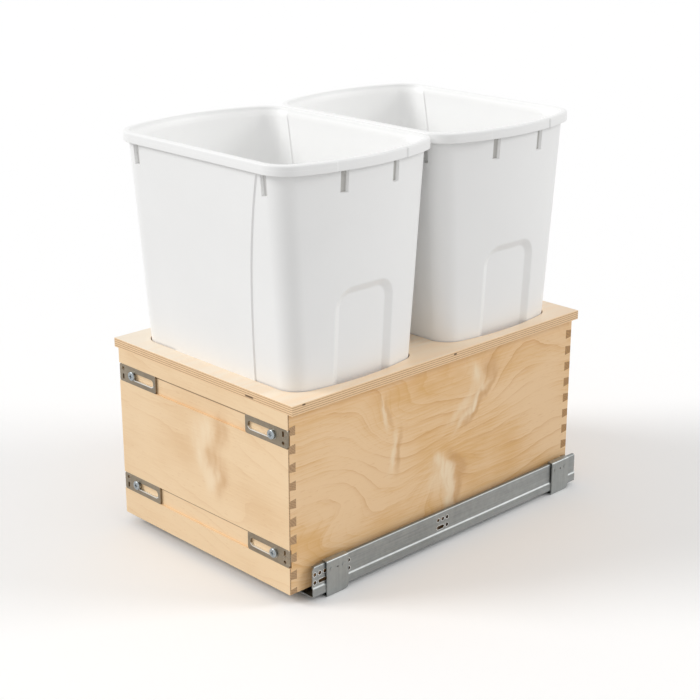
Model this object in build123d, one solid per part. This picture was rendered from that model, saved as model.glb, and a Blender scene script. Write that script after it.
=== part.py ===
from build123d import *
import os

# Pull-out waste bin: two tapered bins in a dovetailed drawer box on under-mount slides.
# Millimetres. +X is right, the door side faces -Y, +Z is up and the cabinet floor is z = 0.

# Drawer box
box_width = 348.0
box_depth = 553.0
box_height = 246.0
board = 12.0
box_lift = 16.0

# Bottom panel in its groove
bottom_thickness = 6.0
bottom_recess = 13.0
bottom_groove = 6.0
bottom_end_gap = 0.5

# Plywood top
top_thickness = 13.0
top_side_overhang = 8.5
top_back_overhang = 3.0
top_edge_round = 0.6
cutout_clearance = 1.5

# Dovetails: pins on the front and back boards, half-blind in front
pin_count = 10
pin_first_drop = 23.0
pin_last_rise = 1.6
pin_narrow = 10.4
pin_slope = 0.125
front_lap = 2.0

# Hidden dowels between the top and the boards
dowel_radius = 3.0
dowel_up = 8.0
dowel_down = 12.0
dowel_spacing = 170.0
dowel_end_inset = 34.0

# Bins
bin_height = 530.5
bin_wall = 2.5
bin_floor = 3.0
bin_side_room = 13.0
bin_rim_gap = 4.5
bin_spread_x = 2.5
bin_spread_y = 38.0
bin_base_bow = 1.5
bin_base_corner = 26.0
bin_top_bow = 30.0
bin_top_corner = 36.0
bin_recess = 4.5

# Bin rim: a flange turned down into a skirt
rim_overhang = 6.0
rim_skirt = 13.5
rim_sheet = 2.5

# Arched pocket low on each long side of a bin
pocket_half_width = 45.0
pocket_top = 350.0
pocket_corner = 26.0

# Stacking notches under the rim
notch_width = 13.0
notch_drop = 42.0
notch_end_inset = 21.5
notch_side_y = 44.0

# Grooves in the front board and the door brackets in them
bracket_length = 80.0
bracket_height = 25.0
bracket_thickness = 3.0
bracket_corner = 3.0
bracket_end_inset = 1.0
bracket_clearance = 0.2
bracket_upper_drop = 33.5
bracket_lower_rise = 50.0
slot_width = 10.5
slot_from_end = 22.5
slot_length = 52.5
door_hole_radius = 2.5
door_hole_from_end = 8.0
door_hole_drop = 6.5
door_slot_width = 3.6
door_slot_length = 8.5
door_slot_rise = 5.5

# Screws that clamp the door brackets
clamp_head_radius = 6.5
clamp_head_height = 3.2
clamp_head_round = 1.4
clamp_head_gap = 0.2
clamp_shank_radius = 2.6
clamp_shank_depth = 9.0
clamp_from_end = 28.5
clamp_cross_width = 1.4
clamp_cross_length = 6.0
clamp_cross_depth = 1.6

# Cabinet rails
rail_setback = 28.0
rail_past_box = 8.0
rail_sheet = 1.5
rail_inner_bend = 0.5
rail_side_gap = 13.0
rail_top_rise = 33.0
rail_bottom_drop = 10.0
rail_jog = 1.4
rail_jog_z = 2.4
rail_jog_rise = 2.4
rail_lip = 5.0
rail_upstand = 13.0
rail_nose_round = 6.0

# Screw holes in a cabinet rail's wall, measured from its front end and down from its top edge
hole_radius = 2.5
hole_row_upper = 11.0
hole_row_lower = 22.5
hole_step = 8.8
front_group = 4.0
middle_group = 234.5
lone_pair = 64.0
hole_slot_length = 14.0

# Runner inside the box side: middle rail, drawer rail, rollers and cages
runner_gap = 3.0
runner_half = 15.0
runner_sheet = 1.2
runner_inner_bend = 0.15
roller_radius = 2.7
roller_length = 14.0
roller_clearance = 0.1
roller_count = 4
roller_step = 12.0
nest_gap = 0.8
cage_thickness = 1.2
cage_length = 240.0
cage_margin = 9.0
cage_ahead = 12.0
window_clearance = 0.2
middle_rail_setback = 6.0
middle_rail_short = 27.0
middle_rail_up = 11.0
middle_rail_down = 5.0
drawer_rail_front_gap = 1.0
drawer_rail_skirt = 12.0

# Rear hook of a drawer rail
hook_gap = 0.3
hook_sheet = 1.5
hook_width = 14.0
hook_rise = 22.0
hook_pin_rise = 14.0
hook_pin_radius = 3.0
hook_pin_length = 8.0
hook_clearance = 0.1
back_notch_clearance = 1.5

# Floor brackets
foot_width = 38.0
foot_sheet = 1.8
foot_inward = 14.0
foot_hook = 6.0
foot_corner = 9.0
foot_front_offset = 22.5
foot_rear_inset = 18.0
foot_hole_radius = 1.2
rivet_radius = 2.0
rivet_spread = 22.0
rivet_drop = 11.0
rivet_head_radius = 3.0
rivet_head = 0.5

# Latch housings, levers and their hardware
latch_width = 27.0
latch_depth = 44.0
latch_front_gap = 6.0
latch_side_gap = 0.3
latch_plate = 4.0
lever_thickness = 4.6
lever_clearance = 0.3
lever_arm = 21.0
lever_bar = 8.0
lever_finger = 22.0
lever_nose_past = 0.3
lever_nose_length = 7.0
lever_pivot_x = 8.0
lever_pivot_y = 14.0
lever_nose_room = 1.5
latch_pin_radius = 2.5
latch_pin_clearance = 0.05
latch_pin_head_radius = 4.0
latch_pin_head = 1.2
latch_screw_radius = 1.6
latch_screw_head_radius = 3.2
latch_screw_head = 1.8
latch_screw_bite = 4.5
latch_screw_inset = 5.0
latch_screw_spacing = 14.0
latch_cheek = 2.5
latch_cheek_length = 24.0

# How far a cut runs past the sheet it pierces
cut_past = 2.5

# Places worked out from the sizes above
side = box_width / 2
inner_side = side - board
rail_length = box_depth + rail_past_box - rail_setback
pin_pitch = (box_height - pin_first_drop - pin_last_rise) / (pin_count - 1)
bin_pitch = box_depth / 2
bin_base_half_x = inner_side - bin_side_room
bin_top_half_x = bin_base_half_x + bin_spread_x
bin_top_half_y = (bin_pitch - bin_rim_gap) / 2 - rim_overhang
bin_base_half_y = bin_top_half_y - bin_spread_y
notch_end_x = bin_top_half_x - notch_end_inset
z_box = box_lift
z_top_under = z_box + box_height
z_top_face = z_top_under + top_thickness
z_bottom_under = z_box + bottom_recess
z_bin = z_bottom_under + bottom_thickness
screw_front = clamp_head_gap + clamp_head_height
rear_reach = max(rail_setback + rail_length, box_depth + top_back_overhang)
front_y = -(rear_reach - screw_front) / 2
back_y = front_y + box_depth
z_upper_bracket = z_top_under - bracket_upper_drop
z_lower_bracket = z_box + bracket_lower_rise
groove_depth = bracket_thickness + bracket_clearance
groove_height = bracket_height + 2 * bracket_clearance
rail_outer = side + rail_side_gap
z_rail_top = z_box + rail_top_rise
z_rail_bottom = z_box - rail_bottom_drop
rail_front = front_y + rail_setback
rail_rear = rail_front + rail_length
runner_x = inner_side - runner_gap - runner_half
z_base = z_rail_bottom + rail_sheet
z_lower_roller = z_base + roller_clearance + roller_radius
z_web = z_lower_roller + roller_radius + roller_clearance
z_upper_roller = z_web + runner_sheet + roller_clearance + roller_radius
z_track = z_upper_roller + roller_radius + roller_clearance
drawer_wall = runner_half - runner_sheet - roller_clearance
flange_out = drawer_wall - runner_sheet - nest_gap
trough_out = flange_out - runner_sheet - nest_gap
drawer_rail_front = front_y + board + drawer_rail_front_gap
cage_middle = (rail_front + rail_rear) / 2 - cage_ahead
latch_edge = runner_x - drawer_wall - latch_side_gap
latch_front = front_y + board + latch_front_gap
pivot_x = latch_edge - lever_pivot_x
pivot_y = latch_front + lever_pivot_y
z_plate = z_bottom_under - latch_plate
z_lever = z_plate - lever_clearance - lever_thickness


def block(x0, x1, y0, y1, z0, z1):
    """A box between two corners."""
    return Pos((x0 + x1) / 2, (y0 + y1) / 2, (z0 + z1) / 2) * Box(abs(x1 - x0), abs(y1 - y0), abs(z1 - z0))


def rod_x(x0, x1, y, z, radius):
    """A cylinder along X."""
    return Pos((x0 + x1) / 2, y, z) * Rot(0, 90, 0) * Cylinder(radius, abs(x1 - x0))


def rod_y(x, y0, y1, z, radius):
    """A cylinder along Y."""
    return Pos(x, (y0 + y1) / 2, z) * Rot(90, 0, 0) * Cylinder(radius, abs(y1 - y0))


def rod_z(x, y, z0, z1, radius):
    """A cylinder along Z."""
    return Pos(x, y, (z0 + z1) / 2) * Cylinder(radius, abs(z1 - z0))


def mirrored(shape, sign):
    """The shape as it is on the right, or its mirror image on the left."""
    return shape if sign > 0 else mirror(shape, about=Plane.YZ)


def save(name, shape):
    """Write one sub-part."""
    export_step(shape, f"parts/{name}.step")


def save_group(name, solids):
    """Write a group of separate like solids as one sub-part."""
    save(name, Compound(children=[piece.solid() for piece in solids]))


def bent_sheet(points, bend, sheet, y0, y1, turn):
    """A sheet folded along points in the XZ plane, run from y0 to y1."""
    path = FilletPolyline(*points, radius=bend)
    profile = make_face(offset(path, amount=sheet, side=turn, closed=True).edges())
    solid = extrude(Plane.XZ * profile, amount=y1 - y0, dir=(0, 1, 0))
    return Pos(0, y0, 0) * solid


def pin_rows():
    """Heights of the dovetail pins' middles, from the top row down."""
    return [z_top_under - pin_first_drop - pin_pitch * row for row in range(pin_count)]


def corner_pins(sign, at_front):
    """The pins of one corner, narrow at the outside and wide at the inside of the box."""
    lap = front_lap if at_front else 0.0
    outside = front_y + lap if at_front else back_y
    inside = front_y + board if at_front else back_y - board
    flare = pin_slope * abs(inside - outside)
    x0, x1 = sorted((sign * inner_side, sign * side))
    pins = []
    for z in pin_rows():
        half = pin_narrow / 2
        wide = half + flare
        corners = [(outside, z - half), (inside, z - wide), (inside, z + wide), (outside, z + half)]
        outline = Polyline(*corners, close=True)
        pin = extrude(Plane.YZ * make_face(outline), amount=x1 - x0, dir=(1, 0, 0))
        pins.append(Pos(x0, 0, 0) * pin)
    return Part() + pins & block(x0, x1, front_y, back_y, z_box, z_top_under)


def corner_block(sign, at_front):
    """The whole of one corner where two boards share the dovetail."""
    y0 = front_y + front_lap if at_front else back_y - board
    y1 = front_y + board if at_front else back_y
    return block(sign * inner_side, sign * side, y0, y1, z_box, z_top_under)


def bottom_panel():
    """The panel that slides into the boards' grooves."""
    reach_x = inner_side + bottom_groove - bottom_end_gap
    y0 = front_y + board - bottom_groove + bottom_end_gap
    y1 = back_y - board + bottom_groove - bottom_end_gap
    panel = block(-reach_x, reach_x, y0, y1, z_bottom_under, z_bin)
    return panel - latch_screw_holes()


def bottom_groove_cut():
    """The groove that runs round the inside of the box."""
    reach_x = inner_side + bottom_groove
    y0 = front_y + board - bottom_groove
    y1 = back_y - board + bottom_groove
    return block(-reach_x, reach_x, y0, y1, z_bottom_under, z_bin)


def bracket_grooves():
    """The two full-width grooves across the front for the door brackets."""
    cuts = []
    half = groove_height / 2
    for z in (z_upper_bracket, z_lower_bracket):
        cuts.append(block(-side, side, front_y, front_y + groove_depth, z - half, z + half))
    return cuts


def bracket_places():
    """Name, side sign and height of each door bracket."""
    return [
        ("right_upper_door_bracket", 1, z_upper_bracket),
        ("left_upper_door_bracket", -1, z_upper_bracket),
        ("right_lower_door_bracket", 1, z_lower_bracket),
        ("left_lower_door_bracket", -1, z_lower_bracket),
    ]


def clamp_axis(sign):
    """Sideways place of a clamp screw."""
    return sign * (side - bracket_end_inset - clamp_from_end)


def dowel_places():
    """Plan places of the dowels, along the middle of each board under the top."""
    places = []
    for x in (-side + board / 2, side - board / 2):
        span = box_depth - 2 * dowel_end_inset
        gaps = max(1, round(span / dowel_spacing))
        for step in range(gaps + 1):
            places.append((x, front_y + dowel_end_inset + span * step / gaps))
    for y in (front_y + board / 2, back_y - board / 2):
        for x in (-dowel_spacing / 2, dowel_spacing / 2):
            places.append((x, y))
    return places


def dowels():
    """Dowels from the boards' upper edges into blind holes under the top."""
    z0 = z_top_under - dowel_down
    z1 = z_top_under + dowel_up
    return [rod_z(x, y, z0, z1, dowel_radius) for x, y in dowel_places()]


def front_panel():
    """Front board: half-blind pins at its ends and two grooves for the door brackets."""
    panel = block(-side, side, front_y, front_y + board, z_box, z_top_under)
    for sign in (1, -1):
        panel = panel - corner_block(sign, True) + corner_pins(sign, True)
    panel = panel - bracket_grooves() - bottom_groove_cut() - dowels()
    for name, sign, z in bracket_places():
        shank_end = front_y + groove_depth + clamp_shank_depth - bracket_thickness
        panel -= rod_y(clamp_axis(sign), front_y, shank_end, z, clamp_shank_radius)
    return panel


def back_panel():
    """Back board: through pins at its ends, a notch for each runner and a hole for each rear hook."""
    panel = block(-side, side, back_y - board, back_y, z_box, z_top_under)
    for sign in (1, -1):
        panel = panel - corner_block(sign, False) + corner_pins(sign, False)
        reach = runner_half + back_notch_clearance
        panel -= block(
            sign * runner_x - reach, sign * runner_x + reach, back_y - board, back_y, z_box, z_bottom_under
        )
        z_pin = z_bottom_under + hook_pin_rise
        hole_end = back_y - hook_pin_length - hook_clearance
        panel -= rod_y(sign * runner_x, hole_end, back_y, z_pin, hook_pin_radius + hook_clearance)
    return panel - bottom_groove_cut() - dowels()


def side_panel(sign):
    """Side board: tails between the pins of the front and back boards."""
    panel = block(sign * inner_side, sign * side, front_y + front_lap, back_y, z_box, z_top_under)
    panel = panel - corner_pins(sign, True) - corner_pins(sign, False)
    return panel - bracket_grooves() - bottom_groove_cut() - dowels()


def bin_outline(share, grow, z):
    """A bin's plan outline at a share of its height, grown outwards: flat ends and bowed long sides."""
    half_x = bin_base_half_x + (bin_top_half_x - bin_base_half_x) * share + grow
    half_y = bin_base_half_y + (bin_top_half_y - bin_base_half_y) * share + grow
    bow = bin_base_bow + (bin_top_bow - bin_base_bow) * share
    corner = bin_base_corner + (bin_top_corner - bin_base_corner) * share + grow
    edges = [
        Line((-half_x, -half_y), (half_x, -half_y)),
        ThreePointArc((half_x, -half_y), (half_x + bow, 0), (half_x, half_y)),
        Line((half_x, half_y), (-half_x, half_y)),
        ThreePointArc((-half_x, half_y), (-half_x - bow, 0), (-half_x, -half_y)),
    ]
    plan = make_face(edges)
    return Pos(0, 0, z) * fillet(plan.vertices(), corner)


def bin_form(grow, z0):
    """The tapered bin as a solid, from z0 to its top, grown outwards by an even amount."""
    share = (z0 - z_bin) / bin_height
    return loft([bin_outline(share, grow, z0), bin_outline(1.0, grow, z_bin + bin_height)], ruled=True)


def bin_recess_prisms(grow):
    """Prisms through a bin's walls where the pockets and stacking notches are pressed in."""
    reach = bin_top_half_x + bin_top_bow + rim_overhang
    prisms = []
    half = pocket_half_width + grow
    top = pocket_top + grow
    drop = bin_floor + bin_height
    arch = Pos(0, top - drop / 2) * RectangleRounded(2 * half, drop, pocket_corner + grow)
    arch = extrude(Plane.YZ * arch, amount=2 * reach, dir=(1, 0, 0))
    room = block(-reach, reach, -reach, reach, z_bin, z_bin + bin_height)
    prisms.append(Pos(-reach, 0, z_bin) * arch & room)
    width = notch_width / 2 + grow
    z1 = z_bin + bin_height - rim_sheet
    z0 = z_bin + bin_height - notch_drop - grow
    for place in (notch_side_y, -notch_side_y):
        prisms.append(block(-reach, reach, place - width, place + width, z0, z1))
    for place in (notch_end_x, -notch_end_x):
        prisms.append(block(place - width, place + width, -reach, reach, z0, z1))
    return Part() + prisms


def waste_bin():
    """One bin about its own middle: a tapered shell with pockets, notches and a turned-down rim."""
    z_rim = z_bin + bin_height
    outside = bin_form(0.0, z_bin) - (bin_recess_prisms(0.0) - bin_form(-bin_recess, z_bin))
    hollow_floor = z_bin + bin_floor
    hollow = bin_form(-bin_wall, hollow_floor)
    hollow -= bin_recess_prisms(bin_wall) - bin_form(-bin_wall - bin_recess, hollow_floor)
    shell = outside - hollow
    flange = extrude(bin_outline(1.0, rim_overhang, z_rim - rim_sheet), amount=rim_sheet, dir=(0, 0, 1))
    flange -= extrude(bin_outline(1.0, -bin_wall, z_rim - rim_sheet), amount=rim_sheet, dir=(0, 0, 1))
    skirt = extrude(bin_outline(1.0, rim_overhang, z_rim - rim_skirt), amount=rim_skirt, dir=(0, 0, 1))
    skirt -= extrude(
        bin_outline(1.0, rim_overhang - rim_sheet, z_rim - rim_skirt), amount=rim_skirt, dir=(0, 0, 1)
    )
    return shell + flange + skirt


def bin_middles():
    """Front-to-back places of the two bins' middles."""
    middle = front_y + box_depth / 2
    return [("front_bin", middle - bin_pitch / 2), ("rear_bin", middle + bin_pitch / 2)]


def top_panel():
    """Plywood top with a close cut-out for each bin and a blind hole for each dowel."""
    half = side + top_side_overhang
    panel = block(-half, half, front_y, back_y + top_back_overhang, z_top_under, z_top_face)
    upper = panel.edges().group_by(Axis.Z)[-1]
    panel = fillet(upper, top_edge_round)
    share = (z_top_face - z_bin) / bin_height
    for name, y in bin_middles():
        cut = extrude(bin_outline(share, cutout_clearance, z_top_under), amount=top_thickness, dir=(0, 0, 1))
        panel -= Pos(0, y, 0) * cut
    return panel - dowels()


def door_bracket(sign, z):
    """A slotted door bracket, the left ones turned half round in their groove."""
    plate = RectangleRounded(bracket_length, bracket_height, bracket_corner)
    end = bracket_length / 2
    plate -= Pos(end - slot_from_end - slot_length / 2, 0) * SlotOverall(slot_length, slot_width)
    plate -= Pos(end - door_hole_from_end, -door_hole_drop) * Circle(door_hole_radius)
    small_slot = SlotOverall(door_slot_length, door_slot_width, 90)
    plate -= Pos(end - door_hole_from_end, door_slot_rise) * small_slot
    solid = extrude(plate, amount=bracket_thickness)
    turn = 0 if sign > 0 else 180
    x = sign * (side - bracket_end_inset - bracket_length / 2)
    return Pos(x, front_y + bracket_thickness, z) * Rot(90, 0, 0) * Rot(0, 0, turn) * solid


def clamp_screw(sign, z):
    """A cross-recessed screw whose head stands over the bracket's slot."""
    x = clamp_axis(sign)
    head_back = front_y - clamp_head_gap
    head_front = head_back - clamp_head_height
    head = rod_y(x, head_front, head_back, z, clamp_head_radius)
    head = fillet(head.edges().group_by(Axis.Y)[0], clamp_head_round)
    reach = clamp_cross_length / 2
    arm = clamp_cross_width / 2
    recess_end = head_front + clamp_cross_depth
    head -= block(x - reach, x + reach, head_front, recess_end, z - arm, z + arm)
    head -= block(x - arm, x + arm, head_front, recess_end, z - reach, z + reach)
    shank_end = front_y + groove_depth + clamp_shank_depth - bracket_thickness
    return head + rod_y(x, head_back, shank_end, z, clamp_shank_radius)


def rail_holes():
    """Screw holes and slots through a right-hand cabinet rail's wall."""
    x0 = rail_outer - rail_jog - rail_sheet - cut_past
    x1 = rail_outer + cut_past
    z_upper = z_rail_top - hole_row_upper
    z_lower = z_rail_top - hole_row_lower
    cuts = []
    for start, slot_at, round_at in ((front_group, 1, 0), (middle_group, 0, 2)):
        for step in range(3):
            cuts.append(rod_x(x0, x1, rail_front + start + hole_step * step, z_upper, hole_radius))
        cuts.append(rod_x(x0, x1, rail_front + start + hole_step * round_at, z_lower, hole_radius))
        slot_from = rail_front + start + hole_step * slot_at
        for y in (slot_from, slot_from + hole_slot_length - 2 * hole_radius):
            cuts.append(rod_x(x0, x1, y, z_lower, hole_radius))
        slot_to = slot_from + hole_slot_length - 2 * hole_radius
        cuts.append(block(x0, x1, slot_from, slot_to, z_lower - hole_radius, z_lower + hole_radius))
    for z in (z_upper, z_lower):
        cuts.append(rod_x(x0, x1, rail_front + lone_pair, z, hole_radius))
    return cuts


def foot_places():
    """Front edges of the two floor brackets of a rail."""
    rear = rail_rear - foot_rear_inset - foot_width
    return [("front", rail_front + foot_front_offset), ("rear", rear)]


def rivet_places(y0):
    """Places of the two rivets of a floor bracket along its rail."""
    middle = y0 + foot_width / 2
    return [middle - rivet_spread / 2, middle + rivet_spread / 2]


def cabinet_rail():
    """Right-hand cabinet rail: pierced wall, a small jog, a base under the box and an inner upstand."""
    wall = rail_outer - rail_jog
    z_jog = z_box + rail_jog_z
    inner = runner_x - runner_half - rail_sheet
    points = [
        (wall - rail_lip, z_rail_top),
        (wall, z_rail_top),
        (wall, z_jog + rail_jog_rise),
        (rail_outer, z_jog),
        (rail_outer, z_rail_bottom),
        (inner, z_rail_bottom),
        (inner, z_rail_bottom + rail_upstand),
    ]
    bend = rail_sheet + rail_inner_bend
    rail = bent_sheet(points, bend, rail_sheet, rail_front, rail_rear, Side.RIGHT)
    nose_y = rail_front + rail_nose_round
    nose_z = z_rail_top - rail_nose_round
    x0 = wall - rail_lip - cut_past
    nose = block(x0, rail_outer, rail_front, nose_y, nose_z, z_rail_top)
    nose -= rod_x(x0, rail_outer, nose_y, nose_z, rail_nose_round)
    rail = rail - nose - rail_holes()
    for name, y0 in foot_places():
        for y in rivet_places(y0):
            hole_from = wall - rail_sheet - cut_past
            rail -= rod_x(hole_from, wall + cut_past, y, z_rail_top - rivet_drop, rivet_radius)
    return rail


def floor_bracket(y0):
    """Right-hand floor bracket: hooked over the rail's top edge, with a foot turned in under the rail."""
    x = rail_outer + foot_sheet
    z_hook = z_rail_top + foot_sheet
    points = [
        (rail_outer - rail_jog - foot_hook, z_hook), (x, z_hook), (x, 0), (rail_outer - foot_inward, 0)
    ]
    bend = foot_sheet + rail_inner_bend
    y1 = y0 + foot_width
    bracket = bent_sheet(points, bend, foot_sheet, y0, y1, Side.RIGHT)
    corner_y = y1 - foot_corner
    x0 = rail_outer - foot_inward
    corner = block(x0, x, corner_y, y1, 0, foot_corner)
    bracket -= corner - rod_x(x0, x, corner_y, foot_corner, foot_corner)
    z = z_rail_top - rivet_drop
    hole_from = rail_outer - cut_past
    hole_to = x + cut_past
    for y in rivet_places(y0):
        bracket -= rod_x(hole_from, hole_to, y, z, rivet_radius)
    return bracket - rod_x(hole_from, hole_to, y0 + foot_width / 2, z, foot_hole_radius)


def rivet(y):
    """Right-hand rivet through a floor bracket and its rail's wall, headed at both ends."""
    wall_in = rail_outer - rail_jog - rail_sheet
    face = rail_outer + foot_sheet
    z = z_rail_top - rivet_drop
    shaft = rod_x(wall_in, face, y, z, rivet_radius)
    shaft += rod_x(wall_in - rivet_head, wall_in, y, z, rivet_head_radius)
    return shaft + rod_x(face, face + rivet_head, y, z, rivet_head_radius)


def middle_rail():
    """Right-hand middle rail: a web with a flange down over the lower rollers and up round the upper ones."""
    y0 = rail_front + middle_rail_setback
    y1 = rail_rear - middle_rail_short
    rail = block(runner_x - flange_out, runner_x + flange_out, y0, y1, z_web, z_web + runner_sheet)
    for way in (1, -1):
        x0 = runner_x + way * (flange_out - runner_sheet)
        x1 = runner_x + way * flange_out
        rail += block(x0, x1, y0, y1, z_web - middle_rail_down, z_web + middle_rail_up)
    return rail


def drawer_rail():
    """Right-hand drawer rail: a hat folded down to the upper rollers, with a rear hook and a latch window."""
    y1 = back_y + hook_gap + hook_sheet
    low = z_bottom_under - drawer_rail_skirt
    points = [
        (runner_x - drawer_wall, low),
        (runner_x - drawer_wall, z_bottom_under),
        (runner_x - trough_out + runner_sheet, z_bottom_under),
        (runner_x - trough_out + runner_sheet, z_track + runner_sheet),
        (runner_x + trough_out - runner_sheet, z_track + runner_sheet),
        (runner_x + trough_out - runner_sheet, z_bottom_under),
        (runner_x + drawer_wall, z_bottom_under),
        (runner_x + drawer_wall, low),
    ]
    bend = runner_sheet + runner_inner_bend
    rail = bent_sheet(points, bend, runner_sheet, drawer_rail_front, y1, Side.RIGHT)
    half = hook_width / 2
    hook_top = z_bottom_under + hook_rise
    rail += block(runner_x - half, runner_x + half, back_y + hook_gap, y1, z_track, hook_top)
    z_pin = z_bottom_under + hook_pin_rise
    rail += rod_y(runner_x, back_y - hook_pin_length, back_y + hook_gap, z_pin, hook_pin_radius)
    window = lever_nose_length / 2 + lever_nose_room
    y = pivot_y + lever_arm
    x0 = runner_x - drawer_wall
    x1 = x0 + runner_sheet
    return rail - block(x0, x1, y - window, y + window, z_lever - lever_clearance, z_plate)


def roller_places():
    """Front-to-back places of a cage's rollers, in a group at each end."""
    places = []
    for way in (1, -1):
        for step in range(roller_count):
            places.append(cage_middle + way * (cage_length / 2 - cage_margin - roller_step * step))
    return places


def rollers(sign, z):
    """The rollers of one cage."""
    x = sign * runner_x
    return [rod_x(x - roller_length / 2, x + roller_length / 2, y, z, roller_radius) for y in roller_places()]


def roller_cage(sign, z):
    """A strip with a window for each roller."""
    x = sign * runner_x
    half = trough_out - runner_sheet / 2
    y0 = cage_middle - cage_length / 2
    cage = block(x - half, x + half, y0, y0 + cage_length, z - cage_thickness / 2, z + cage_thickness / 2)
    reach_x = roller_length / 2 + window_clearance
    reach_y = roller_radius + window_clearance
    windows = [
        block(x - reach_x, x + reach_x, y - reach_y, y + reach_y, z - cage_thickness, z + cage_thickness)
        for y in roller_places()
    ]
    return cage - windows


def latch_screw_axes():
    """Plan places of a right-hand latch housing's two screws."""
    x = latch_edge - latch_width + latch_screw_inset
    y = latch_front + latch_depth - latch_screw_inset
    return [(x, y), (x, y - latch_screw_spacing)]


def latch_screw(sign, x, y):
    """A screw from below through a latch housing's plate into the bottom panel."""
    shaft = rod_z(sign * x, y, z_plate, z_bottom_under + latch_screw_bite, latch_screw_radius)
    return shaft + rod_z(sign * x, y, z_plate - latch_screw_head, z_plate, latch_screw_head_radius)


def latch_screw_holes():
    """Pilot holes for the latch screws in the bottom panel."""
    z1 = z_bottom_under + latch_screw_bite
    places = [(sign * x, y) for sign in (1, -1) for x, y in latch_screw_axes()]
    return [rod_z(x, y, z_bottom_under, z1, latch_screw_radius) for x, y in places]


def latch_housing():
    """Right-hand latch housing: a plate under the bottom panel, a stop in front and a cheek by the rail."""
    x0 = latch_edge - latch_width
    plate = block(x0, latch_edge, latch_front, latch_front + latch_depth, z_plate, z_bottom_under)
    plate += block(x0, latch_edge, latch_front, latch_front + latch_cheek, z_lever, z_plate)
    cheek_end = latch_front + latch_cheek_length
    plate += block(latch_edge - latch_cheek, latch_edge, latch_front, cheek_end, z_lever, z_plate)
    plate -= rod_z(pivot_x, pivot_y, z_plate, z_bottom_under, latch_pin_radius)
    for x, y in latch_screw_axes():
        plate -= rod_z(x, y, z_plate, z_bottom_under, latch_screw_radius)
    return plate


def latch_pin(sign):
    """The headed pin that a release lever turns on."""
    z_head = z_lever - lever_clearance
    pin = rod_z(sign * pivot_x, pivot_y, z_head, z_bottom_under, latch_pin_radius)
    return pin + rod_z(sign * pivot_x, pivot_y, z_head - latch_pin_head, z_head, latch_pin_head_radius)


def release_lever():
    """Right-hand release lever: a finger arm, and a nose arm that locks into the drawer rail."""
    z1 = z_lever + lever_thickness
    half = lever_bar / 2
    tip = pivot_y + lever_arm + lever_nose_length / 2
    lever = block(pivot_x - half, pivot_x + half, pivot_y, tip, z_lever, z1)
    lever += block(pivot_x - lever_finger, pivot_x, pivot_y - half, pivot_y + half, z_lever, z1)
    lever += rod_z(pivot_x, pivot_y, z_lever, z1, half)
    lever += rod_z(pivot_x - lever_finger, pivot_y, z_lever, z1, half)
    nose_end = runner_x - drawer_wall + runner_sheet + lever_nose_past
    lever += block(pivot_x, nose_end, tip - lever_nose_length, tip, z_lever, z1)
    return lever - rod_z(pivot_x, pivot_y, z_lever, z1, latch_pin_radius + latch_pin_clearance)


def main():
    """Build every sub-part and write it."""
    os.makedirs("parts", exist_ok=True)
    rivets = []
    for word, sign in (("right", 1), ("left", -1)):
        save(f"{word}_cabinet_rail", mirrored(cabinet_rail(), sign))
        for end, y0 in foot_places():
            save(f"{word}_{end}_floor_bracket", mirrored(floor_bracket(y0), sign))
            rivets += [mirrored(rivet(y), sign) for y in rivet_places(y0)]
        save(f"{word}_middle_rail", mirrored(middle_rail(), sign))
        save(f"{word}_drawer_rail", mirrored(drawer_rail(), sign))
        for level, z in (("lower", z_lower_roller), ("upper", z_upper_roller)):
            save(f"{word}_{level}_roller_cage", roller_cage(sign, z))
            save_group(f"{word}_{level}_rollers", rollers(sign, z))
        save(f"{word}_latch_housing", mirrored(latch_housing(), sign))
        save(f"{word}_release_lever", mirrored(release_lever(), sign))
        save(f"{word}_panel", side_panel(sign))
    save_group("bracket_rivets", rivets)
    save_group("latch_pins", [latch_pin(sign) for sign in (1, -1)])
    save_group("latch_screws", [latch_screw(sign, x, y) for sign in (1, -1) for x, y in latch_screw_axes()])
    save("front_panel", front_panel())
    save("back_panel", back_panel())
    save("bottom_panel", bottom_panel())
    save("top_panel", top_panel())
    save_group("top_dowels", dowels())
    for name, sign, z in bracket_places():
        save(name, door_bracket(sign, z))
    save_group("clamp_screws", [clamp_screw(sign, z) for name, sign, z in bracket_places()])
    shape = waste_bin()
    for name, y in bin_middles():
        save(name, Pos(0, y, 0) * shape)


main()
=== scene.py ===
"""Looks for the pull-out waste bin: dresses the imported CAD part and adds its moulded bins."""

import logging
import math
from collections.abc import Mapping, Sequence
from dataclasses import dataclass, replace
from enum import Enum
from typing import Any

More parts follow.
